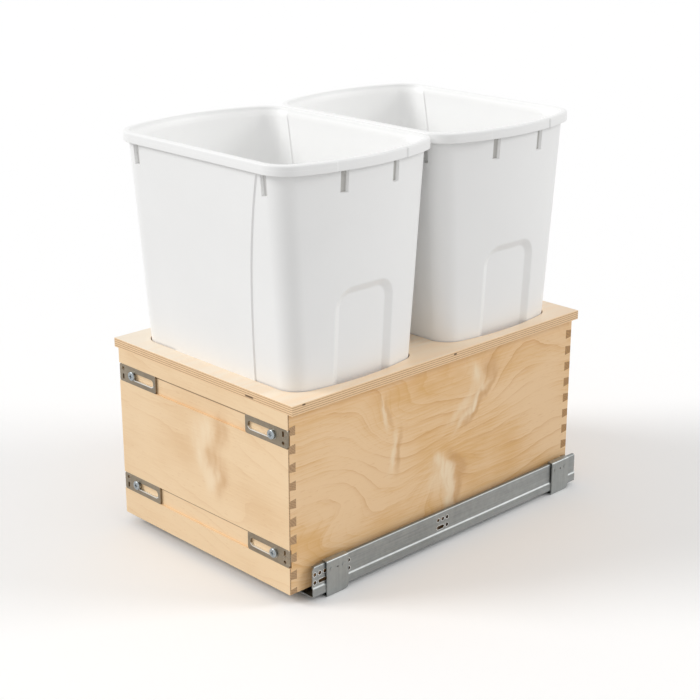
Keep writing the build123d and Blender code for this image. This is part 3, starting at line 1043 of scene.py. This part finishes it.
def runs(edges: Sequence[Any], counts: Sequence[int]) -> np.ndarray:
    """Evenly spaced places from each edge towards the next, without the last edge itself.

    Args:
        edges: the edges in order, as numbers or as arrays with one number to a row.
        counts: how many places each stretch has.

    Returns:
        The places, along the last axis.
    """
    stretches = zip(edges, edges[1:], counts)
    spread = [np.linspace(low, high, count, endpoint=False, axis=-1) for low, high, count in stretches]
    return np.concatenate(spread, axis=-1)


def smooth(share: np.ndarray) -> np.ndarray:
    """Ease a share from 0 to 1: three times its square less twice its cube, held at both ends.

    Args:
        share: the plain share.

    Returns:
        The eased share.
    """
    held = np.clip(share, 0.0, 1.0)
    return held * held * (3.0 - 2.0 * held)


@dataclass
class WasteBin:
    """A moulded bin: flat ends, bowed sides, pressed-in pockets and notches, and a turned-down rim."""

    node: str
    body: str
    wall: float = 0.0025
    floor: float = 0.003
    base_half_x: float = 0.149
    base_half_y: float = 0.092
    base_bow: float = 0.0015
    base_corner: float = 0.026
    base_round: float = 0.006
    top_half_x: float = 0.1515
    top_half_y: float = 0.130
    top_bow: float = 0.030
    top_corner: float = 0.036
    rim_overhang: float = 0.006
    rim_skirt: float = 0.0135
    rim_sheet: float = 0.0025
    rim_round: float = 0.0028
    rim_edge: float = 0.0006
    rim_band: float = 0.00015
    pocket_half: float = 0.0505
    pocket_top: float = 0.366
    pocket_corner: float = 0.028
    pocket_slope: float = 0.010
    pocket_depth: float = 0.006
    notch_depth: float = 0.0045
    notch_skin: float = 0.0008
    # The notches in the ends get this share of the painted shade that the side notches get.
    end_notch_shade: float = 0.8
    notch_low: float = 0.488
    notch_half: float = 0.0053
    notch_side: float = 0.044
    notch_end: float = 0.1255
    notch_wall: float = 0.0009
    collar_run: float = 0.090
    step_run: float = 0.060
    step_inset: float = 0.0017
    panel_rise: float = 0.0018
    panel_edge: float = 0.0011
    panel_top: float = 0.1183
    panel_low: float = 0.080
    panel_power: float = 4.2
    band_share: float = 0.52
    pocket_margin: float = 0.003
    pocket_headroom: float = 0.002
    sharp_angle: float = 32.0
    turn_count: int = 6
    front_counts: tuple[int, ...] = (12, 4, 4, 2, 6, 2, 12)
    side_counts: tuple[int, ...] = (6, 2, 1, 45)
    wall_counts: tuple[int, ...] = (24, 34, 14, 2, 4, 2, 3)

    def __post_init__(self) -> None:
        """Take the bin's place and height from its CAD node."""
        low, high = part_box(self.node)
        self.middle = (low + high) / 2.0
        self.base = low.z
        self.height = high.z - low.z
        self.notch_high = self.height - self.rim_skirt + self.rim_edge

    def panel_half(self, z: np.ndarray) -> np.ndarray:
        """Half width of the raised middle panel: it narrows downwards, quickly at first, as a rising power.

        Args:
            z: height over the bin's base.

        Returns:
            Half width.
        """
        share = np.clip(z / self.height, 0.0, 1.0)
        return self.panel_low + (self.panel_top - self.panel_low) * share**self.panel_power

    def columns(self, z: np.ndarray, share: np.ndarray, grow: np.ndarray) -> Rows:
        """Places of one quarter's columns, from the middle of the front to the middle of the right side.

        Args:
            z: height over the base, one to a row.
            share: share of the way from the base outline to the top one.
            grow: how far the outline is grown.

        Returns:
            Run along the front from its middle, run along the side from its middle, and whether on the side.
        """
        straight, turn, bow_run = self.lengths(share, grow)
        panel = self.panel_half(z)
        near, far = self.notch_end - self.notch_half, self.notch_end + self.notch_half
        notch = (near, near + self.notch_wall, far - self.notch_wall, far)
        step = (self.step_run + self.notch_wall, self.step_run - self.notch_wall)
        side_stops = (*step, self.pocket_half + self.pocket_margin, 0.0)
        front_edges = [np.zeros_like(z), panel, panel + self.panel_edge]
        front_edges += [np.full_like(z, stop) for stop in notch] + [straight + turn]
        side_edges = [bow_run] + [np.full_like(z, stop) for stop in side_stops]
        front = runs(front_edges, self.front_counts)
        side = np.concatenate([runs(side_edges, self.side_counts), side_edges[-1][:, None]], axis=1)
        on_side = np.repeat([False, True], [front.shape[1], side.shape[1]])
        return front, side, on_side

    def lengths(self, share: np.ndarray, grow: np.ndarray) -> Rows:
        """Lengths of a quarter outline's three stretches: straight front, corner arc and bowed side.

        Args:
            share: share of the way from the base outline to the top one.
            grow: how far the outline is grown.

        Returns:
            The three lengths, one to a row.
        """
        form = self.form(share, grow)
        arc = form["corner"] * (math.pi / 2.0 - form["turn"])
        return form["corner_x"], arc, form["radius"] * form["turn"]

    def form(self, share: np.ndarray, grow: np.ndarray) -> dict[str, np.ndarray]:
        """Outline at some height: an arc bows each side, and a corner arc touches it and the front.

        Args:
            share: share of the way from the base outline to the top one.
            grow: how far the outline is grown.

        Returns:
            Its half depth, bow radius and centre, corner radius and centre, and the angle of the bow.
        """
        half_x = self.base_half_x + (self.top_half_x - self.base_half_x) * share + grow
        half_y = self.base_half_y + (self.top_half_y - self.base_half_y) * share + grow
        bow = self.base_bow + (self.top_bow - self.base_bow) * share
        corner = self.base_corner + (self.top_corner - self.base_corner) * share + grow
        radius = (half_y**2 + bow**2) / (2.0 * bow)
        centre = half_x + bow - radius
        drop = half_y - corner
        corner_x = centre + np.sqrt((radius - corner) ** 2 - drop**2)
        turn = np.arcsin(drop / (radius - corner))
        return {
            "half_y": half_y, "radius": radius, "centre": centre,
            "corner": corner, "corner_x": corner_x, "turn": turn,
        }

    def quarter(self, rows: Mapping[str, np.ndarray]) -> np.ndarray:
        """One quarter of the surface: a run along the outline, pushed in along its normal where pressed.

        Args:
            rows: the path's height, outline share, growth, and shares of pressing, notching and stepping.

        Returns:
            X, Y, Z and the share of painted shade in the notches, by row and column.
        """
        z, share, grow = rows["z"], rows["share"], rows["grow"]
        form = {key: value[:, None] for key, value in self.form(share, grow).items()}
        front, side, on_side = self.columns(z, share, grow)
        angle = np.clip((front - form["corner_x"]) / form["corner"], 0.0, None)
        straight = np.minimum(front, form["corner_x"])
        front_normal = np.stack([np.sin(angle), -np.cos(angle)])
        corner_y = -(form["half_y"] - form["corner"])
        front_x = straight + form["corner"] * front_normal[0]
        front_y = corner_y + form["corner"] * front_normal[1]
        swing = side / form["radius"]
        side_normal = np.stack([np.cos(swing), -np.sin(swing)])
        side_x = form["centre"] + form["radius"] * side_normal[0]
        side_y = form["radius"] * side_normal[1]
        x = np.concatenate([front_x, side_x], axis=1)
        y = np.concatenate([front_y, side_y], axis=1)
        normal = np.concatenate([front_normal, side_normal], axis=2)
        depth = np.concatenate([self.front_press(front, z), self.side_press(side, z)], axis=1)
        depth = depth * rows["press"][:, None]
        away = np.concatenate([np.abs(front - self.notch_end), np.abs(side - self.notch_side)], axis=1)
        # Share of the notch: it sets the notch's depth and, below, its painted shade.
        shaded_notch = self.notch(away, z) * rows["notch"][:, None]
        depth = depth + self.notch_depth * shaded_notch
        step = smooth((self.step_run + self.notch_wall - side) / (2.0 * self.notch_wall))
        depth[:, on_side] += self.step_inset * step * rows["step"][:, None]
        x = x - normal[0] * depth
        y = y - normal[1] * depth
        # The end notches get less painted shade than the side ones.
        notch_shade_weight = np.where(on_side, 1.0, self.end_notch_shade)
        return np.stack([x, y, np.broadcast_to(z[:, None], x.shape), shaded_notch * notch_shade_weight])

    def front_press(self, run: np.ndarray, z: np.ndarray) -> np.ndarray:
        """Depth pressed in along the front, below nothing where the middle panel stands out.

        Args:
            run: run along the front from its middle.
            z: height over the base.

        Returns:
            Depth, by row and column.
        """
        panel = self.panel_half(z)[:, None]
        return -self.panel_rise * (1.0 - smooth((run - panel) / self.panel_edge))

    def side_press(self, run: np.ndarray, z: np.ndarray) -> np.ndarray:
        """Depth pressed in along a side: an arch with slanted walls.

        Args:
            run: run along the side from its middle.
            z: height over the base.

        Returns:
            Depth, by row and column.
        """
        out = np.abs(run) - (self.pocket_half - self.pocket_corner)
        up = z[:, None] - (self.pocket_top - self.pocket_corner)
        away = np.hypot(np.maximum(out, 0.0), np.maximum(up, 0.0)) + np.minimum(np.maximum(out, up), 0.0)
        return self.pocket_depth * np.clip((self.pocket_corner - away) / self.pocket_slope, 0.0, 1.0)

    def notch(self, away: np.ndarray, z: np.ndarray) -> np.ndarray:
        """Share of a notch's depth: a flat-bottomed slot with steep walls, which ends behind the skirt.

        Args:
            away: distance from the notch's middle line.
            z: height over the base.

        Returns:
            Share, by row and column.
        """
        across = np.clip((self.notch_half - away) / self.notch_wall, 0.0, 1.0)
        upward = np.clip((z[:, None] - self.notch_low) / self.notch_wall, 0.0, 1.0)
        behind = np.clip((self.notch_high + self.notch_wall - z[:, None]) / self.notch_wall, 0.0, 1.0)
        return across * upward * behind

    def levels(self, low: float) -> np.ndarray:
        """Heights of the wall's rows: close where the pocket's arch and the notches start.

        Args:
            low: the first height.

        Returns:
            Heights over the base.
        """
        arch = self.pocket_top - self.pocket_corner - self.pocket_slope
        under_rim = self.height - self.rim_sheet
        edges = (
            low, arch, self.pocket_top + self.pocket_headroom,
            self.notch_low, self.notch_low + self.notch_wall,
            self.notch_high, self.notch_high + self.notch_wall, under_rim,
        )
        return np.append(runs(edges, self.wall_counts), under_rim)

    def profile(self) -> dict[str, np.ndarray]:
        """The path that the outline is run along: up the wall, round the rim, down inside and over the floor.

        Returns:
            Height over the base, outline share, growth, shares of pressing, notching and stepping, and
            whether inside.
        """
        turn = np.linspace(0.0, math.pi / 2.0, self.turn_count)
        heel_z = self.base_round * (1.0 - np.cos(turn))
        heel_grow = -self.base_round * (1.0 - np.sin(turn))
        outer = self.levels(self.base_round)[1:]
        rim_z, rim_grow, rim_step = self.rim_path(turn)
        inner = self.levels(self.floor + self.base_round)[::-1]
        inner = inner[inner < self.height - 2.0 * self.rim_sheet]
        thicker = self.notch_depth + self.notch_skin - self.wall
        collar = thicker * smooth((inner - self.notch_low) / self.collar_run + 1.0)
        collar = collar * smooth((self.height - inner) / self.rim_skirt)
        toe_z = self.floor + self.base_round * (1.0 - np.sin(turn[1:]))
        toe_grow = -self.wall - self.base_round * (1.0 - np.cos(turn[1:]))
        counts = [len(turn), len(outer), len(rim_z), len(inner), len(turn) - 1]
        z = np.r_[heel_z, outer, rim_z, inner, toe_z]
        on_rim = np.repeat([False, False, True, False, False], counts)
        inside = np.repeat([False, False, False, True, True], counts)
        step = np.zeros_like(z)
        step[on_rim] = rim_step
        under_lip = smooth((self.height - self.rim_sheet - z) / self.rim_skirt)
        return {
            "z": z,
            "share": np.where(on_rim, 1.0, z / self.height),
            "grow": np.r_[heel_grow, np.zeros_like(outer), rim_grow, -self.wall - collar, toe_grow],
            "press": np.where(on_rim, 0.0, np.where(inside, under_lip, 1.0)),
            "notch": np.repeat([0.0, 1.0, 0.0, 0.0, 0.0], counts),
            "step": step,
            "inside": inside.astype(float),
        }

    def rim_path(self, turn: np.ndarray) -> Rows:
        """The rim's section: out under the flange, round the skirt's foot, up its bands and over the crown.

        Args:
            turn: angles of a quarter turn.

        Returns:
            Height over the base, growth and share of the side step, by row.
        """
        top = self.height
        skirt_in = self.rim_overhang - self.rim_sheet
        foot = top - self.rim_skirt
        band = top - self.rim_skirt * self.band_share
        inset = self.rim_overhang - self.rim_band
        crown_z = top - self.rim_round * (1.0 - np.sin(turn))
        crown_grow = inset - self.rim_round * (1.0 - np.cos(turn))
        lip_z = top - self.rim_sheet * (1.0 - np.cos(turn))
        lip_grow = -self.wall + self.rim_sheet * (1.0 - np.sin(turn))
        skirt = np.array(
            [
                [top - self.rim_sheet, skirt_in, 0.0],
                [foot + self.rim_edge, skirt_in, 0.0],
                [foot, skirt_in + self.rim_edge, 0.0],
                [foot, self.rim_overhang - self.rim_edge, 1.0],
                [foot + self.rim_edge, self.rim_overhang, 1.0],
                [band, self.rim_overhang, 1.0],
                [band + self.rim_band, inset, 1.0],
            ]
        )
        z = np.r_[skirt[:, 0], crown_z, lip_z]
        grow = np.r_[skirt[:, 1], crown_grow, lip_grow]
        return z, grow, np.r_[skirt[:, 2], np.ones_like(turn), np.zeros_like(turn)]

    @staticmethod
    def loop(quarter: np.ndarray) -> np.ndarray:
        """Mirror a quarter of the surface into the whole loop, with each shared column once.

        Args:
            quarter: X, Y, Z and the share of painted shade in the notches, by row and column.

        Returns:
            The same for the whole loop.
        """
        signs = ((1.0, -1.0), (-1.0, -1.0), (-1.0, 1.0))
        right, back, left = (quarter * np.array([x, y, 1.0, 1.0])[:, None, None] for x, y in signs)
        return np.concatenate([quarter, right[:, :, -2:0:-1], back, left[:, :, -2:0:-1]], axis=2)

    def build(self, material: bpy.types.Material) -> bpy.types.Object:
        """Make the bin, which stands for its CAD node and moves with its body.

        Args:
            material: the bin's plastic.

        Returns:
            The new piece.
        """
        path = self.profile()
        loop = self.loop(self.quarter(path))
        rows, columns = loop.shape[1:]
        points = loop[:3].reshape(3, -1).T + np.array([self.middle.x, self.middle.y, self.base])
        ends = np.array([[self.middle.x, self.middle.y, points[row, 2]] for row in (0, -1)])
        first = np.arange(columns)
        after = (first + 1) % columns
        under = np.stack([np.full(columns, rows * columns), after, first], axis=-1)
        last = (rows - 1) * columns
        inside = np.stack([np.full(columns, rows * columns + 1), last + first, last + after], axis=-1)
        mesh = bpy.data.meshes.new(self.node + "_moulded")
        faces = grid_faces(rows, columns).tolist() + under.tolist() + inside.tolist()
        mesh.from_pydata(np.concatenate([points, ends]).tolist(), [], faces)
        mesh.polygons.foreach_set("use_smooth", np.ones(len(mesh.polygons), bool))
        mesh.set_sharp_from_angle(angle=math.radians(self.sharp_angle))
        # Point attributes: the inside rows, which carry the painted glow, and the notches' painted shade.
        shares = {
            INSIDE: np.r_[np.repeat(path["inside"], columns), path["inside"][[0, -1]]],
            NOTCH_SHADE: np.r_[loop[3].ravel(), 0.0, 0.0],
        }
        for name, share in shares.items():
            mesh.attributes.new(name, "FLOAT", "POINT").data.foreach_set("value", share)
        mesh.materials.append(material)
        piece = bpy.data.objects.new(self.node + "_moulded", mesh)
        bpy.context.scene.collection.objects.link(piece)
        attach(piece, self.body)
        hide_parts(self.node)
        log.info("made %s with %d rows and %d columns", piece.name, rows, columns)
        return piece


@dataclass
class DrawerBox:
    """The dovetailed box, its bottom, its plywood top and the hidden dowels."""

    top_plies: int = 9
    bottom_plies: int = 5
    marks: tuple[Filler, ...] = (
        Filler(0.102, -0.2788, 0.0095, 0.32),
        Filler(0.1825, -0.2595, 0.0032, 0.84),
        Filler(0.1825, 0.014, 0.0032, 0.74),
    )
    front_streaks: tuple[Streak, ...] = (
        Streak(0.010, 0.196, 0.028, 0.018, 0.10, 0.75),
        Streak(0.000, 0.150, 0.030, 0.016, -0.30, 0.75),
        Streak(0.024, 0.130, 0.026, 0.012, 0.20, 0.6),
    )
    right_swirls: tuple[Swirl, ...] = (
        Swirl(0.070, 0.205, 0.036, 0.034),
        Swirl(0.010, 0.105, 0.032, -0.040),
        Swirl(-0.100, 0.190, 0.040, 0.022),
        Swirl(-0.225, 0.129, 0.050, -0.045),
    )
    right_streaks: tuple[Streak, ...] = (
        Streak(0.002, 0.108, 0.022, 0.018, -0.60, 1.0),
        Streak(0.020, 0.068, 0.028, 0.008, 0.00, 0.9),
        Streak(-0.012, 0.086, 0.028, 0.022, -0.20, 0.5),
        Streak(0.060, 0.185, 0.030, 0.008, 1.00, 0.9),
        Streak(0.040, 0.188, 0.030, 0.014, 1.10, 0.6),
        Streak(0.066, 0.233, 0.020, 0.018, -0.30, 0.8),
        Streak(-0.111, 0.218, 0.030, 0.005, -0.13, 0.8),
        Streak(-0.095, 0.163, 0.030, 0.006, 0.16, 0.9),
    )
    left_swirls: tuple[Swirl, ...] = (Swirl(0.060, 0.170, 0.040, 0.040),)
    left_streaks: tuple[Streak, ...] = (
        Streak(0.060, 0.170, 0.032, 0.010, 0.30, 0.9),
        Streak(-0.090, 0.120, 0.026, 0.008, -0.40, 0.7),
    )
    front_pale: Colour = (0.93, 0.69, 0.43)
    front_deep: Colour = (0.84, 0.58, 0.33)
    front_lines: float = 0.16

    def front_board(self) -> Maple:
        """The front's paler, plainer board."""
        # The grooves' upper edges, which get a painted shadow below them.
        grooves = tuple(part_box(f"right_{level}_door_bracket")[1].z for level in LEVELS)
        return Maple(
            "front_maple", Axis.X, Axis.Y, seed=3.1, streaks=self.front_streaks, sawn=grooves,
            lines=self.front_lines, pale=self.front_pale, deep=self.front_deep,
        )

    def dress(self) -> None:
        """Give every board its own wood, so that no two have the same figure."""
        dress("front_panel", self.front_board().build())
        right = Maple("right_maple", Axis.Y, Axis.X, 11.7, self.right_swirls, self.right_streaks)
        left = Maple("left_maple", Axis.Y, Axis.X, 23.9, self.left_swirls, self.left_streaks)
        dress("right_panel", right.build())
        dress("left_panel", left.build())
        dress("back_panel", Maple("back_maple", Axis.X, Axis.Y, seed=37.3).build())
        sheets = (("top_panel", self.top_plies, self.marks), ("bottom_panel", self.bottom_plies, ()))
        for node, plies, marks in sheets:
            low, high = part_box(node)
            dress(node, Plywood(node + "_birch", low.z, high.z - low.z, plies, seed=5.0, marks=marks).build())
        dress("top_dowels", Maple("dowel_beech", Axis.Z, Axis.X, seed=41.0).build())


@dataclass
class DoorBrackets:
    """The slotted plates for the cabinet door and the screws that clamp them."""

    slot_width: float = 0.0105
    slot_length: float = 0.0525
    slot_from_end: float = 0.0225
    slot_lip: float = 0.0015
    # Its up-facing faces get a pale painted highlight.
    steel: Plated = Plated(
        "bracket_steel", (0.39, 0.335, 0.26), (0.20, 0.165, 0.12), 0.42, Axis.X, upper=(0.90, 0.90, 0.88)
    )
    zinc: Plated = Plated("screw_zinc", (0.50, 0.545, 0.57), (0.26, 0.29, 0.31), 0.30, Axis.Y)

    def slot_rims(self) -> tuple[PunchedRim, ...]:
        """The lower edges of the clamping slots, which get a painted highlight.

        Returns:
            One rim for each pair of plates.
        """
        rims = []
        for level in LEVELS:
            low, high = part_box(f"right_{level}_door_bracket")
            at = high.x - self.slot_from_end - self.slot_length / 2.0
            half = (self.slot_length - self.slot_width) / 2.0
            middle, radius = (low.z + high.z) / 2.0, self.slot_width / 2.0
            rims.append(PunchedRim(Axis.X, at, middle, radius, half, self.slot_lip, lower=True))
        return tuple(rims)

    def dress(self) -> None:
        """Dress the plates and screws."""
        steel = replace(self.steel, rims=self.slot_rims()).build()
        for hand in Hand:
            for level in LEVELS:
                dress(f"{hand.value}_{level}_door_bracket", steel)
        zinc = self.zinc.build()
        dress("clamp_screws", zinc)
        dress("latch_screws", zinc)


@dataclass
class Slides:
    """The under-mount slides, their floor brackets and their latches."""

    hole_radius: float = 0.0025
    hole_rows: tuple[float, float] = (0.011, 0.0225)
    hole_pitch: float = 0.0088
    hole_groups: tuple[tuple[float, int, int], ...] = ((0.004, 1, 0), (0.2345, 0, 2))
    lone_pair: float = 0.064
    slot_half: float = 0.0045
    hole_count: int = 3
    # Its up-facing faces get a dark painted shade.
    rail: Plated = Plated(
        "rail_zinc", (0.43, 0.445, 0.44), (0.25, 0.26, 0.255), 0.44, Axis.Y,
        # The holes' cut walls get a near-black painted shadow.
        upper=(0.24, 0.25, 0.245), painted_hole_shade=(0.03, 0.02, 0.012),
    )
    bracket: Plated = Plated("floor_bracket_zinc", (0.44, 0.455, 0.445), (0.28, 0.29, 0.285), 0.42, Axis.Z)
    ground: Plated = Plated("ground_steel", (0.62, 0.62, 0.61), (0.45, 0.45, 0.44), 0.28, Axis.X)
    cage: Moulded = Moulded("cage_nylon", (0.025, 0.025, 0.027), 0.45)
    housing: Moulded = Moulded("latch_nylon", (0.10, 0.105, 0.11), 0.48)
    lever: Moulded = Moulded("lever_nylon", (0.72, 0.20, 0.025), 0.42)

    def hole_rims(self) -> tuple[PunchedRim, ...]:
        """The rims of a cabinet rail's screw holes, which get painted highlights: two groups, and a lone pair
        between them.

        A group is a row of three holes, with a slot and another hole under them.

        Returns:
            The rims.
        """
        low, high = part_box("right_cabinet_rail")
        upper, lower = (high.z - row for row in self.hole_rows)
        holes = [(low.y + self.lone_pair, upper), (low.y + self.lone_pair, lower)]
        rims = []
        for start, slot_at, round_at in self.hole_groups:
            first = low.y + start
            holes += [(first + step * self.hole_pitch, upper) for step in range(self.hole_count)]
            holes.append((first + round_at * self.hole_pitch, lower))
            middle = first + slot_at * self.hole_pitch + self.slot_half
            rims.append(PunchedRim(Axis.Y, middle, lower, self.hole_radius, self.slot_half))
        rims += [PunchedRim(Axis.Y, at, level, self.hole_radius) for at, level in holes]
        return tuple(rims)

    def dress(self) -> None:
        """Dress both slides."""
        rail = replace(self.rail, rims=self.hole_rims()).build()
        bracket = self.bracket.build()
        ground = self.ground.build()
        cage = self.cage.build()
        housing = self.housing.build()
        lever = self.lever.build()
        for hand in Hand:
            side = hand.value
            for part in ("cabinet_rail", "middle_rail", "drawer_rail"):
                dress(f"{side}_{part}", rail)
            for end in ("front", "rear"):
                dress(f"{side}_{end}_floor_bracket", bracket)
            for level in LEVELS:
                dress(f"{side}_{level}_roller_cage", cage)
                dress(f"{side}_{level}_rollers", ground)
            dress(f"{side}_latch_housing", housing)
            dress(f"{side}_release_lever", lever)
        dress("bracket_rivets", bracket)
        dress("latch_pins", ground)


@dataclass(frozen=True)
class Bank:
    """A broad, far bank of light, which lights the floor as evenly as the part."""

    name: str
    towards: Point
    spread: float
    strength: float

    def build(self) -> None:
        """Hang the light and point it at the part."""
        light = bpy.data.lights.new(self.name, "SUN")
        light.angle = math.radians(self.spread)
        light.energy = self.strength * math.pi
        lamp = bpy.data.objects.new(self.name, light)
        lamp.location = self.towards
        lamp.rotation_euler = (-Vector(self.towards)).to_track_quat("-Z", "Y").to_euler()
        bpy.context.scene.collection.objects.link(lamp)
        log.info("hung %s", self.name)


@dataclass
class Studio:
    """A pale floor, a soft white room, banks of light left and right, and the photographer's camera."""

    floor_reach: float = 20.0
    floor_seen: Colour = WHITE
    floor_thrown: Colour = (0.63, 0.63, 0.63)
    ambient: float = 0.62
    backdrop: float = 1.0
    sensor: float = 36.0
    focal_px: float = 1532.0
    picture_px: float = 700.0
    stand: Point = (1.4753, -1.4274, 0.9480)
    azimuth: float = 46.06
    pitch: float = 19.15
    lights: tuple[Bank, ...] = (
        Bank("left_bank", (-2.2, -2.5, 2.2), 24.0, 0.44),
        Bank("right_bank", (2.4, 2.6, 2.0), 24.0, 0.262),
    )

    def build(self) -> None:
        """Make the room, its lights and the camera."""
        self.lay_floor()
        self.light_room()
        for light in self.lights:
            light.build()
        self.set_camera()

    def lay_floor(self) -> None:
        """Lay the floor under the part's lowest point."""
        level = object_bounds()[0].z
        reach = self.floor_reach
        turns = ((-1.0, -1.0), (1.0, -1.0), (1.0, 1.0), (-1.0, 1.0))
        corners = [(x * reach, y * reach, level) for x, y in turns]
        mesh = bpy.data.meshes.new("floor")
        mesh.from_pydata(corners, [], [(0, 1, 2, 3)])
        mesh.materials.append(Flat("floor_white", self.floor_seen, self.floor_thrown).build())
        floor = bpy.data.objects.new("floor", mesh)
        bpy.context.scene.collection.objects.link(floor)
        floor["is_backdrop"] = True

    def light_room(self) -> None:
        """Fill the room with even light, and show plain white behind the part."""
        world = bpy.data.worlds.new("room")
        tree = Tree(world)
        room, backdrop = (
            tree.add("ShaderNodeBackground", None, {"Color": opaque(WHITE), "Strength": level})
            for level in (self.ambient, self.backdrop)
        )
        either = tree.add("ShaderNodeMixShader", None, {0: tree.looked_at(), 1: room, 2: backdrop})
        tree.close("ShaderNodeOutputWorld", either)
        bpy.context.scene.world = world

    def set_camera(self) -> None:
        """Stand the camera where the photograph was taken from."""
        data = bpy.data.cameras.new("photo_camera")
        data.sensor_width = self.sensor
        data.lens = self.sensor * self.focal_px / self.picture_px
        camera = bpy.data.objects.new("photo_camera", data)
        turn, pitch = math.radians(self.azimuth), math.radians(self.pitch)
        level = math.cos(pitch)
        ahead = Vector((-math.sin(turn) * level, math.cos(turn) * level, -math.sin(pitch)))
        camera.location = self.stand
        camera.rotation_euler = ahead.to_track_quat("-Z", "Y").to_euler()
        scene = bpy.context.scene
        scene.collection.objects.link(camera)
        scene.camera = camera
        scene.view_settings.view_transform = "Standard"


def main() -> None:
    """Dress the part, build its bins and set up the studio."""
    logging.basicConfig(level=logging.INFO, format="%(name)s: %(message)s")
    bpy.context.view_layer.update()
    DrawerBox().dress()
    DoorBrackets().dress()
    Slides().dress()
    plastic = BIN_PLASTIC.build()
    for node in ("front_bin", "rear_bin"):
        WasteBin(node, node + "_body").build(plastic)
    Studio().build()


if __name__ == "__main__":
    main()
